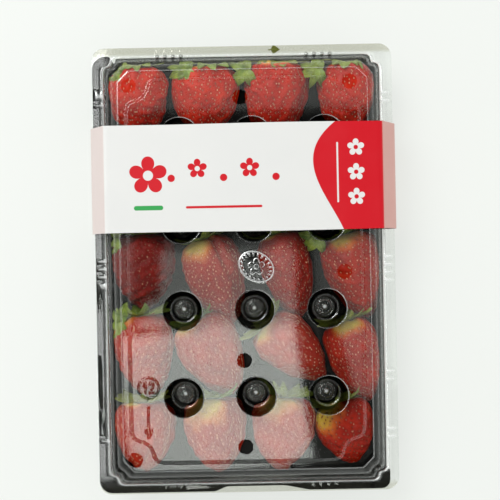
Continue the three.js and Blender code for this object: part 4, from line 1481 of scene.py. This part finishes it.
class BerryShape:
    """The surface of one berry as a function of the way down it and the turn round it."""

    TALL = 19.25
    WALL_Z = (3.0, 30.2, 47.0)
    WALL_X = (86.1, 89.2, 80.2)
    WALL_Y = (136.1, 139.2, 129.3)
    CORNER = (213.0, 217.2, 202.8)
    SHAFT_Z = (0.0, 24.6, 34.7, 50.0)
    SHAFT_R = (10.2, 8.7, 10.1, 13.3)

    def __init__(self, berry: Berry, number: int) -> None:
        """Works out the berry's frame and its own uneven waves.

        Args:
            berry: the berry.
            number: its number, which sets its random draws.
        """
        self.berry = berry
        self.number = number
        self.random = np.random.default_rng(700 + number)
        run = np.subtract(berry.tip, berry.calyx)
        self.length = float(np.hypot(*run))
        self.ahead = np.array([*(run / self.length), 0.0])
        self.left = np.array([-self.ahead[1], self.ahead[0], 0.0])
        self.start = np.array([*berry.calyx, BERRY_FLOOR])
        along, share = self.smooth_profile()
        gaps = np.hypot(np.diff(along) * self.length, np.diff(share) * berry.width / 2)
        arc = np.concatenate([[0.0], np.cumsum(gaps)])
        self.arc = float(arc[-1])
        self.table = (arc / arc[-1], along, share)
        self.waves = self.random.normal(size=(7, 3)) * 0.16
        self.phases = self.random.uniform(0.0, 2.0 * math.pi, 7)

    def smooth_profile(self) -> tuple[np.ndarray, np.ndarray]:
        """The profile from shoulder to tip, as shares of the length and of half the width.

        Returns:
            The shares of the length, and of half the width.
        """
        knots = np.arange(len(PROFILE_ALONG))
        fine = np.linspace(0.0, knots[-1], 300)
        blunt = 1.0 + 0.12 * self.random.uniform(-1.0, 1.0)
        along = np.interp(fine, knots, PROFILE_ALONG)
        share = np.interp(fine, knots, PROFILE_SHARE) ** blunt
        kernel = np.hanning(31)
        kernel /= kernel.sum()

        def eased(values: np.ndarray) -> np.ndarray:
            """The values with their corners eased and their ends kept."""
            before = 2 * values[0] - values[15:0:-1]
            after = 2 * values[-1] - values[-2:-17:-1]
            return np.convolve(np.concatenate([before, values, after]), kernel, "valid")

        return eased(along), np.maximum(eased(share), 0.0)

    def raw(self, t: np.ndarray, turn: np.ndarray) -> np.ndarray:
        """The plain form, before it meets its neighbours in the pack.

        Args:
            t: the way down the skin, 0 to 1.
            turn: the turn round it.

        Returns:
            The points.
        """
        berry = self.berry
        along = np.interp(t, self.table[0], self.table[1])
        share = np.interp(t, self.table[0], self.table[2])
        lump = 1.0 + 0.04 * np.sin(2 * turn + 1.7 * self.number) + 0.03 * np.sin(3 * turn - self.number)
        quarter = np.minimum(0.5, 0.2 + 0.35 * (1.0 - along))
        middle = self.TALL * (0.45 + 0.55 * np.sin(math.pi * quarter))
        side = berry.width / 2 * share * lump * np.cos(turn)
        up = self.TALL * 0.95 * share * lump * np.sin(turn)
        height = np.maximum(up + middle, 0.4)
        forward = along[..., None] * self.length * self.ahead
        return self.start + forward + side[..., None] * self.left + height[..., None] * (0, 0, 1)

    @staticmethod
    def fitted(points: np.ndarray, slack: float = 0.0) -> np.ndarray:
        """The points pressed clear of the wells, the posts and the walls.

        Args:
            points: the points.
            slack: how much farther off they stay.

        Returns:
            The pressed points.
        """
        made = points.copy()
        z = made[..., 2]
        limit = np.interp(z, BerryShape.SHAFT_Z, BerryShape.SHAFT_R) + slack
        for centre in WELL_CENTRES:
            away = made[..., :2] - centre
            far = np.hypot(away[..., 0], away[..., 1])
            soft = 0.7
            pushed = limit + soft * np.log1p(np.exp(np.clip((far - limit) / soft, -40.0, 40.0)))
            near = far < limit + 5.0
            scale = np.where(near, pushed / np.maximum(far, 1e-3), 1.0)
            made[..., :2] = centre + away * scale[..., None]
        for axis, reach in ((0, BerryShape.WALL_X), (1, BerryShape.WALL_Y)):
            bound = np.interp(z, BerryShape.WALL_Z, reach) - slack
            value = made[..., axis]
            over = np.abs(value) - bound
            soft = 0.8
            inside = bound - soft * np.log1p(np.exp(np.clip(-over / soft, -40.0, 40.0)))
            inside = np.where(over > -6.0, inside, np.abs(value))
            made[..., axis] = np.sign(value) * inside
        over = np.abs(made[..., :2]).sum(axis=-1) - np.interp(z, BerryShape.WALL_Z, BerryShape.CORNER) + slack
        made[..., :2] -= np.sign(made[..., :2]) * 0.5 * np.maximum(over, 0.0)[..., None]
        return made

    def surface(self, t: np.ndarray, turn: np.ndarray) -> tuple[np.ndarray, np.ndarray]:
        """Points on the berry and the directions that face out there.

        Args:
            t: the way down the skin, 0 to 1.
            turn: the turn round it.

        Returns:
            The points and their directions.
        """
        t, turn = np.broadcast_arrays(np.asarray(t, float), np.asarray(turn, float))
        step = 0.004
        here = self.raw(t, turn)
        down = self.raw(np.minimum(t + step, 1.0), turn) - self.raw(np.maximum(t - step, 0.0), turn)
        round_ = self.raw(t, turn + 0.02) - self.raw(t, turn - 0.02)
        normal = np.cross(round_, down)
        size = np.linalg.norm(normal, axis=-1)[..., None]
        normal = normal / np.maximum(size, 1e-9)
        middle = self.start + 0.45 * self.length * self.ahead + np.array([0, 0, 0.9 * self.TALL])
        wrong = ((here - middle) * normal).sum(axis=-1) < 0
        normal = np.where(wrong[..., None], -normal, normal)
        rise = np.zeros(t.shape)
        for wave, phase in zip(self.waves, self.phases):
            rise += 0.22 * np.sin(here @ (wave * 2.2) + phase)
        if self.berry.cleft[1]:
            turn_at, depth, reach = self.berry.cleft
            gap = np.angle(np.exp(1j * (turn - turn_at)))
            rise -= depth * np.exp(-((gap / 0.16) ** 2)) * smooth_step(reach + 0.15, reach - 0.1, t)
        if self.berry.folds:
            bend = 1.6 * np.sin(here @ np.array([-0.3, 0.7, 0.4]))
            ripple = np.sin(here @ np.array([0.95, 0.5, 0.3]) + bend)
            bend = 2.0 * np.sin(here @ np.array([0.6, 0.1, 0.3]))
            ripple += 0.7 * np.sin(here @ np.array([0.35, 1.2, 0.2]) + bend)
            patch = smooth_step(0.62, 0.35, t) * smooth_step(-0.6, 0.2, -np.cos(turn - 0.2))
            rise += 0.55 * self.berry.folds * ripple * patch
        return here + rise[..., None] * normal, normal


LEAF_GRID = (12, 7)


@dataclass
class StrawberryBed:
    """The twenty berries: skins by ripeness, seeds, calyx leaves and stalks."""

    rows: int = 90
    columns: int = 104
    seed_gap: float = 3.45
    seed_size: tuple[float, float, float] = (0.67, 0.42, 0.3)
    leaf_stretch: float = 4.5
    stalk_room: float = 2.5
    stalk_free: float = 100.0
    tufts: tuple[tuple[float, float], ...] = (
        (-79.0, 131.0), (-36.0, 132.5), (3.0, 131.0), (51.0, 131.0),
        (-86.0, 22.0), (-84.0, -34.0), (48.0, 20.0),
    )

    def shapes(self) -> list[BerryShape]:
        """The shape of every berry."""
        return [BerryShape(berry, k) for k, berry in enumerate(BERRIES)]

    def seed_places(self, shape: BerryShape) -> tuple[np.ndarray, np.ndarray]:
        """Rows and columns of the skin's grid where the seeds sit, in a spiral.

        Args:
            shape: the berry's shape.

        Returns:
            The rows and the columns.
        """
        t, share = shape.table[0], shape.table[2]
        weight = share * (1.0 + 0.5 * smooth_step(0.6, 1.0, t))
        area = np.concatenate([[0.0], np.cumsum(0.5 * (weight[1:] + weight[:-1]) * np.diff(t))])
        skin = 2.0 * math.pi * 0.5 * (shape.berry.width / 2 + shape.TALL) * area[-1] * shape.arc
        count = int(skin / self.seed_gap**2)
        wanted = (np.arange(count) + 0.5) / count
        at = np.interp(wanted, area / area[-1], t) + shape.random.normal(0.0, 0.006, count)
        turn = np.arange(count) * math.pi * (3.0 - math.sqrt(5.0)) + shape.random.normal(0.0, 0.07, count)
        keep = (at > 0.24) & (at < 0.985)
        row = np.round(at[keep] * (self.rows - 1)).astype(int)
        column = np.searchsorted(self.turns(), np.mod(turn[keep], 2.0 * math.pi)) % self.columns
        return row, column

    def turns(self) -> np.ndarray:
        """The turns of the skin's columns round the berry, closer on its upper side."""
        even = np.linspace(0.0, 2.0 * math.pi, self.columns, endpoint=False)
        return even + 0.38 * (np.cos(even) - 1.0) + 0.38

    def pale_share(self, shape: BerryShape, t: np.ndarray, turn: np.ndarray) -> np.ndarray:
        """How pale the skin is: a soft round patch by the calyx and a weak ring beneath it.

        Args:
            shape: the berry's shape.
            t: the way down the skin.
            turn: the turn round it.

        Returns:
            The share, 0 to 1.
        """
        berry = shape.berry
        gap = np.angle(np.exp(1j * (turn - berry.pale_turn)))
        far = np.hypot((t - 0.13) / max(berry.pale, 0.001), gap / 1.3)
        far = far + 0.1 * np.sin(turn * 2.0 + shape.phases[0])
        far = far + 0.07 * np.sin(5.0 * turn + 9.0 * t + shape.phases[1])
        return np.maximum(smooth_step(1.2, 0.1, far), 0.4 * smooth_step(0.22, 0.12, t)) * (berry.pale > 0.02)

    def add_berry(self, shape: BerryShape, skin: MeshMaker, seeds: MeshMaker) -> None:
        """Adds one berry's skin, and the seeds that can be seen.

        Args:
            shape: the berry's shape.
            skin: the skins' mesh.
            seeds: the seeds' mesh.
        """
        t = np.linspace(0.0, 1.0, self.rows)[:, None]
        turn = self.turns()[None, :]
        points, normals = shape.surface(t, turn)
        row, column = self.seed_places(shape)
        seen = normals[row, column][:, 2] > -0.25
        row, column = row[seen], column[seen]
        spots = points[row, column]
        flat = points.reshape(-1, 3)
        nearest = np.full(len(flat), 1e9)
        for start in range(0, len(flat), 4000):
            block = flat[start : start + 4000]
            gaps = ((block[:, None, :] - spots[None]) ** 2).sum(axis=-1)
            nearest[start : start + 4000] = np.sqrt(gaps.min(axis=1))
        # dimple sinks the skin round each seed and, in the material, darkens it as painted shade
        dimple = np.exp(-((nearest / 1.05) ** 2)).reshape(points.shape[:2])
        plump = smooth_step(0.2, 0.3, t) * smooth_step(1.0, 0.9, t)
        swell = 0.28 * smooth_step(1.0, 2.2, nearest).reshape(dimple.shape) * plump
        fixed = shape.fitted(points + (swell - 0.62 * dimple)[..., None] * normals)
        pale = np.broadcast_to(self.pale_share(shape, t, turn), dimple.shape).ravel()
        tone = shape.random.uniform(0.0, 1.0)
        ids = skin.add(fixed.reshape(-1, 3), dimple=dimple.ravel(), pale=pale, tone=tone)
        ids = ids.reshape(dimple.shape)
        for upper, lower in zip(ids, ids[1:]):
            skin.bridge(lower, upper)
        self.add_seeds(shape, seeds, fixed[row, column], normals[row, column])

    def add_seeds(self, shape: BerryShape, seeds: MeshMaker, spots: np.ndarray, normals: np.ndarray) -> None:
        """Adds a small pointed oval at each place, lying along the berry.

        Args:
            shape: the berry's shape.
            seeds: the seeds' mesh.
            spots: where they sit.
            normals: the directions that face out there.
        """
        along = shape.ahead - (normals @ shape.ahead)[:, None] * normals
        along /= np.maximum(np.linalg.norm(along, axis=1), 1e-6)[:, None]
        across = np.cross(normals, along)
        size_x, size_y, size_z = self.seed_size
        rings = [(-0.8, 0.45), (0.0, 1.0), (0.7, 0.6)]
        sides = 6
        turn = np.linspace(0.0, 2.0 * math.pi, sides, endpoint=False)
        for spot, normal, a, c in zip(spots, normals, along, across):
            grow = shape.random.uniform(0.85, 1.15)
            age = float(np.clip(shape.berry.age + shape.random.normal(0.0, 0.2), 0.0, 1.0))
            base = spot + 0.16 * normal
            girth = np.cos(turn)[:, None] * size_y * c + np.sin(turn)[:, None] * size_z * normal
            loops = []
            for at, wide in rings:
                loops.append(seeds.add(base + grow * (at * size_x * a + wide * girth), age=age))
            for first, second in zip(loops, loops[1:]):
                seeds.bridge(second, first)
            tip = int(seeds.add(np.array([base + grow * 1.15 * size_x * a]), age=age)[0])
            end = int(seeds.add(np.array([base - grow * 1.05 * size_x * a]), age=age)[0])
            seeds.faces.extend((int(p), int(q), tip) for p, q in zip(np.roll(loops[-1], -1), loops[-1]))
            seeds.faces.extend((int(p), int(q), end) for p, q in zip(loops[0], np.roll(loops[0], -1)))

    def add_calyx(self, shape: BerryShape, leaves: MeshMaker) -> None:
        """Adds a berry's leaves, which spread from its shoulder, bend away from it and twist.

        Args:
            shape: the berry's shape.
            leaves: the leaves' mesh.
        """
        random = shape.random
        count = int(random.integers(11, 14))
        u = np.linspace(0.0, 1.0, LEAF_GRID[0])[:, None]
        w = np.linspace(-1.0, 1.0, LEAF_GRID[1])[None, :]
        tone = random.uniform(0.0, 0.6)
        centre = shape.start + np.array([0.0, 0.0, shape.TALL])
        up = np.array([0.0, 0.0, 1.0])
        for k in range(count):
            turn = 2.0 * math.pi * (k + random.uniform(-0.25, 0.25)) / count + 0.3
            outward = math.cos(turn) * shape.left + math.sin(turn) * up
            tangent = -math.sin(turn) * shape.left + math.cos(turn) * up
            length = random.uniform(17.0, 24.0)
            back = random.uniform(2.0, 9.0) + 3.0 * max(math.sin(turn), 0.0)
            way = 1.0 if math.cos(turn) > 0 else -1.0
            twist = random.uniform(0.35, 1.1) * way * abs(math.cos(turn)) ** 0.5
            wide = random.uniform(3.0, 4.4)
            half = wide * np.sin(math.pi * np.clip(0.1 + 0.9 * u, 0.0, 1.0) ** 0.8) ** 0.8
            out = 2.0 + length * (0.25 * u + 0.95 * u * (1.0 - 0.35 * u))
            behind = 1.0 - 5.0 * u * (1.0 - u) - back * u**2.2
            spread = np.cos(twist * u)[..., None] * tangent + np.sin(twist * u)[..., None] * shape.ahead
            curl = 0.14 * np.abs(w) ** 1.5 * half + 0.25 * np.sin(8.0 * u + 4.0 * w + k)
            made = centre + out[..., None] * outward + (behind - curl)[..., None] * shape.ahead
            made = shape.fitted(made + (w * half)[..., None] * spread, 0.3)
            made[..., 2] = np.clip(made[..., 2], BERRY_FLOOR + 0.3, 45.9)
            self.add_leaf(leaves, made, tone)

    def add_leaf(self, leaves: MeshMaker, points: np.ndarray, tone: float) -> None:
        """Adds one leaf's grid of points, unless a well has pulled it apart.

        Args:
            leaves: the leaves' mesh.
            points: its grid of points.
            tone: how aged it is.
        """
        longest = max(np.linalg.norm(np.diff(points, axis=axis), axis=-1).max() for axis in (0, 1))
        if longest > self.leaf_stretch:
            return
        u, w = np.mgrid[0.0 : 1.0 : LEAF_GRID[0] * 1j, -1.0 : 1.0 : LEAF_GRID[1] * 1j]
        ids = leaves.add(points.reshape(-1, 3), across=w.ravel(), along=u.ravel(), tone=tone)
        ids = ids.reshape(LEAF_GRID)
        for first, second in zip(ids, ids[1:]):
            leaves.bridge(first, second, closed=False)

    def add_tuft(self, spot: tuple[float, float], random: np.random.Generator, leaves: MeshMaker) -> None:
        """Adds a few broad leaves that lie flat beside a shoulder.

        Args:
            spot: where the leaves start.
            random: the source of their sizes.
            leaves: the leaves' mesh.
        """
        u = np.linspace(0.0, 1.0, LEAF_GRID[0])[:, None]
        w = np.linspace(-1.0, 1.0, LEAF_GRID[1])[None, :]
        for k in range(6):
            turn = math.radians(75.0 + 42.0 * k + random.uniform(-12.0, 12.0))
            out = np.array([math.cos(turn), math.sin(turn)])
            side = np.array([-out[1], out[0]])
            length = random.uniform(10.0, 14.0)
            lobe = np.sin(math.pi * np.clip(0.12 + 0.88 * u, 0.0, 1.0) ** 0.8) ** 0.8
            half = random.uniform(2.9, 3.9) * lobe
            flat = np.array(spot) + (length * u)[..., None] * out + (w * half)[..., None] * side
            z = 33.0 + 0.5 * k + 4.5 * u * (1.0 - u) * 2.0 - 9.0 * u**2 + 0.22 * np.abs(w) ** 1.5 * half
            made = np.concatenate([flat, z[..., None]], axis=-1)
            self.add_leaf(leaves, BerryShape.fitted(made, 0.3), random.uniform(0.0, 0.35))

    def add_stalk(self, shape: BerryShape, leaves: MeshMaker) -> None:
        """Adds the short cut stalk behind a berry, unless the end wall stands close.

        Args:
            shape: the berry's shape.
            leaves: the leaves' mesh.
        """
        if shape.berry.calyx[1] > self.stalk_free:
            return
        height = shape.TALL * 0.95
        up = np.array([0, 0, 1.0])
        room = self.stalk_room
        path = [(1.5, 2.2, 0.0), (-0.5, 1.7, 0.2), (-0.5 * room, 1.35, 0.8), (-room, 1.4, 2.0)]
        turn = np.linspace(0.0, 2.0 * math.pi, 8, endpoint=False)
        rings = []
        for along, radius, rise in path:
            middle = shape.start + along * shape.ahead + np.array([0.0, 0.0, height + rise])
            girth = np.cos(turn)[:, None] * shape.left + np.sin(turn)[:, None] * up
            rings.append(leaves.add(middle + radius * girth, across=0.5, along=0.5, tone=0.2))
        for first, second in zip(rings, rings[1:]):
            leaves.bridge(first, second)

    def build(
        self,
        skins: dict[Ripeness, bpy.types.Material],
        seed: bpy.types.Material,
        leaf: bpy.types.Material,
    ) -> None:
        """Makes and dresses every piece of the berries.

        Args:
            skins: the skin's material for each ripeness.
            seed: the seeds' material.
            leaf: the leaves' material.
        """
        makers = {ripeness: MeshMaker() for ripeness in Ripeness}
        seeds, leaves = MeshMaker(), MeshMaker()
        for shape in self.shapes():
            self.add_berry(shape, makers[shape.berry.ripeness], seeds)
            self.add_calyx(shape, leaves)
            self.add_stalk(shape, leaves)
        random = np.random.default_rng(41)
        for spot in self.tufts:
            self.add_tuft(spot, random, leaves)
        for ripeness, maker in makers.items():
            settle(maker.make(f"{ripeness.value}_berries"), skins[ripeness], Slot.FLESH, "strawberries")
        settle(seeds.make("berry_seeds"), seed, Slot.FLESH, "strawberries")
        made = leaves.make("calyx_leaves")
        thicken(made, 0.35, 70.0, even=False)
        settle(made, leaf, Slot.LEAF, "strawberries")


# ------------------------------------------------------------------ sleeve and caught leaf
@dataclass
class Sleeve:
    """The folded card band round the pack."""

    low: float = 25.0
    high: float = 95.0
    card: float = 0.45
    corners: tuple[tuple[float, float], ...] = ((89.5, 0.3), (101.6, 29.8), (90.6, 50.72))
    fold: float = 1.5

    def section(self) -> np.ndarray:
        """The outer line of the band across the pack, with rounded folds.

        Returns:
            The line's points, from end to end.
        """
        half = list(self.corners)
        corners = np.array([*half, *[(-x, z) for x, z in reversed(half)]])
        points = []
        for before, here, after in zip(np.roll(corners, 1, axis=0), corners, np.roll(corners, -1, axis=0)):
            back = (before - here) / np.linalg.norm(before - here)
            ahead = (after - here) / np.linalg.norm(after - here)
            for t in np.linspace(0.0, 1.0, 7):
                a, b = here + back * self.fold * (1 - t), here + ahead * self.fold * t
                points.append(a * (1 - t) + b * t)
        loop = np.array(points)
        return resample(np.vstack([loop, loop[:1]]), 280)[:-1]

    def build(self, material: bpy.types.Material) -> bpy.types.Object:
        """Makes the sleeve and dresses it.

        Args:
            material: its material.

        Returns:
            The sleeve.
        """
        maker = MeshMaker()
        section = self.section()
        rows = np.linspace(0.0, 1.0, 19)
        rings = []
        for share in rows:
            y = self.low + (self.high - self.low) * share
            wave = 0.22 * np.sin(section[:, 0] / 27.0 + 0.6) * (2.0 * share - 1.0) * (section[:, 1] > 30.0)
            sag = 0.16 * np.sin(section[:, 0] / 21.0 + 3.0 * share) * smooth_step(49.0, 50.6, section[:, 1])
            z = section[:, 1] - np.abs(sag)
            rings.append(np.column_stack([section[:, 0], y + wave, z]))
        maker.loft(rings[::-1])
        sleeve = maker.make("card_sleeve")
        thicken(sleeve, self.card, 60.0)
        settle(sleeve, material, Slot.CARD, "sleeve")
        return sleeve


@dataclass
class CaughtLeaf:
    """The end of a leaf that is held between the flanges."""

    x: float = 22.0
    y: float = 145.6
    half_width: float = 3.9
    length: float = 5.5
    z: float = 29.93
    grid: tuple[int, int] = (17, 9)

    def build(self, material: bpy.types.Material) -> bpy.types.Object:
        """Makes the leaf and dresses it.

        Args:
            material: its material.

        Returns:
            The leaf.
        """
        maker = MeshMaker()
        u = np.linspace(0.0, 1.0, self.grid[0])[:, None]
        w = np.linspace(-1.0, 1.0, self.grid[1])[None, :]
        places = (0.0, 0.24, 0.3, 0.36, 0.46, 0.6, 0.75, 0.9, 1.0)
        widths = (0.1, 0.13, 0.5, 0.93, 1.0, 0.84, 0.52, 0.2, 0.02)
        half = self.length / 2 * np.interp(u, places, widths)
        x = self.x - self.half_width + 2.0 * self.half_width * u
        y = self.y + w * half + 0.3 * np.sin(3.0 * u)
        z = self.z - 0.05 * np.abs(w) - 0.04 * np.sin(8.0 * u)
        points = np.stack(np.broadcast_arrays(x, y, z), axis=-1)
        ids = maker.add(
            points.reshape(-1, 3),
            across=np.broadcast_to(w, self.grid).ravel(),
            along=np.broadcast_to(u, self.grid).ravel(),
            tone=0.55,
        ).reshape(self.grid)
        for first, second in zip(ids, ids[1:]):
            maker.bridge(first, second, closed=False)
        leaf = maker.make("flange_leaf")
        thicken(leaf, 0.3, 70.0, even=False)
        settle(leaf, material, Slot.LEAF, "leaf_tip")
        return leaf


# ------------------------------------------------------------------ studio
@dataclass(frozen=True)
class Lamp:
    """A soft rectangular light: its place, what it points at, its sides and its radiance."""

    name: str
    place: tuple[float, float, float]
    aim: tuple[float, float, float]
    size: tuple[float, float]
    radiance: float
    colour: tuple[float, float, float] = (1.0, 1.0, 1.0)
    turn: float = 0.0

    def build(self) -> bpy.types.Object:
        """Makes the light."""
        data = bpy.data.lights.new(self.name, "AREA")
        data.shape = "RECTANGLE"
        data.size, data.size_y = (s * MM for s in self.size)
        data.energy = self.radiance * math.pi * data.size * data.size_y
        data.color = self.colour
        light = bpy.data.objects.new(self.name, data)
        light.location = [c * MM for c in self.place]
        aim = Vector(self.aim) - Vector(self.place)
        spin = Quaternion((0.0, 0.0, 1.0), math.radians(self.turn))
        light.rotation_euler = (aim.to_track_quat("-Z", "Y") @ spin).to_euler()
        bpy.context.scene.collection.objects.link(light)
        return light


@dataclass
class Studio:
    """Floor, world, lights and camera."""

    sky: tuple[float, float] = (1.1, 0.04)
    softbox_z: float = 1550.0
    # each softbox: left, right, front, back, radiance and turn
    softbox: tuple[tuple[float, float, float, float, float, float], ...] = (
        (-147.0, 108.0, 11.0, 31.0, 0.5, 0.0),
        (-155.0, 108.0, -86.0, 11.0, 1.35, 0.0),
        (-184.0, 108.0, -122.0, -86.0, 1.8, 0.0),
        (-205.0, 108.0, -136.0, -122.0, 2.9, 0.0),
        (-232.0, 120.0, -425.0, -136.0, 4.5, 7.0),
        (-240.0, 330.0, 285.0, 390.0, 0.72, 0.0),
        (147.0, 300.0, -112.0, 40.0, 0.6, 0.0),
        (203.0, 320.0, -275.0, -108.0, 1.0, 13.0),
        (-262.0, -208.0, -86.0, 40.0, 0.5, 0.0),
    )
    tint: tuple[float, float, float] = (0.975, 1.0, 0.955)
    camera_at: tuple[float, float, float] = (-5.2, 13.4, 794.0)
    roll: float = -1.1
    focal: float = 82.58
    shift: tuple[float, float] = (0.026, -0.002)

    def floor(self) -> None:
        """A wide pale floor, a little lower than the feet to keep clear of them."""
        maker = MeshMaker()
        rings = [at_height(circle(0.0, 0.0, radius, 64), -0.05) for radius in (4200.0, 1500.0, 500.0)]
        placed = maker.loft(rings)
        maker.fan(placed[-1], (0.0, 0.0, -0.05))
        made = maker.make("floor")
        made.data.materials.append(Backdrop().build())

    def build(self) -> None:
        """Makes everything round the pack."""
        scene = bpy.context.scene
        scene.view_settings.view_transform = "Standard"
        world = bpy.data.worlds.new("studio")
        world.use_nodes = True
        tree = Tree(world.node_tree)
        split = tree.add("ShaderNodeSeparateXYZ", {0: tree.add("ShaderNodeTexCoord").outputs["Generated"]})
        side, top = self.sky
        span = {"Value": split.outputs[2], "From Min": 0.7, "From Max": 0.95, "To Min": side, "To Max": top}
        strength = tree.add("ShaderNodeMapRange", span, interpolation_type="SMOOTHSTEP").outputs[0]
        sky = world.node_tree.nodes["Background"]
        sky.inputs[0].default_value = (0.985, 1.0, 0.985, 1.0)
        tree.put(sky.inputs[1], strength)
        scene.world = world
        self.floor()
        for number, (left, right, front, back, radiance, turn) in enumerate(self.softbox):
            x, y = (left + right) / 2.0, (front + back) / 2.0
            size = (right - left, back - front)
            place, aim = (x, y, self.softbox_z), (x, y, 0.0)
            Lamp(f"softbox_{number}", place, aim, size, radiance, self.tint, turn).build()
        Lamp("strip", (-275.0, 0.0, self.softbox_z), (-275.0, 0.0, 0.0), (34.0, 880.0), 5.0).build()
        Lamp("key", (-800.0, 800.0, 1500.0), (0.0, 0.0, 20.0), (900.0, 900.0), 8.0).build()
        data = bpy.data.cameras.new("camera")
        data.lens = self.focal
        data.sensor_width = 36.0
        data.shift_x, data.shift_y = self.shift
        data.clip_start, data.clip_end = 0.05, 20.0
        camera = bpy.data.objects.new("camera", data)
        camera.location = [c * MM for c in self.camera_at]
        camera.rotation_euler = (0.0, 0.0, math.radians(self.roll))
        scene.collection.objects.link(camera)
        scene.camera = camera


def main() -> None:
    """Builds the pieces in order."""
    logging.basicConfig(level=logging.INFO, format="%(name)s: %(message)s")
    Studio().build()
    clear = ClearSheet().build()
    leaf = LeafSkin().build()
    skins = {ripeness: flesh.build() for ripeness, flesh in SKINS.items()}
    Base().build(clear)
    NestTray().build(BlackSheet().build())
    StrawberryBed().build(skins, SeedCoat().build(), leaf)
    Lid().build(clear)
    Sleeve().build(PrintedCard().build())
    CaughtLeaf().build(leaf)


if __name__ == "__main__":
    main()
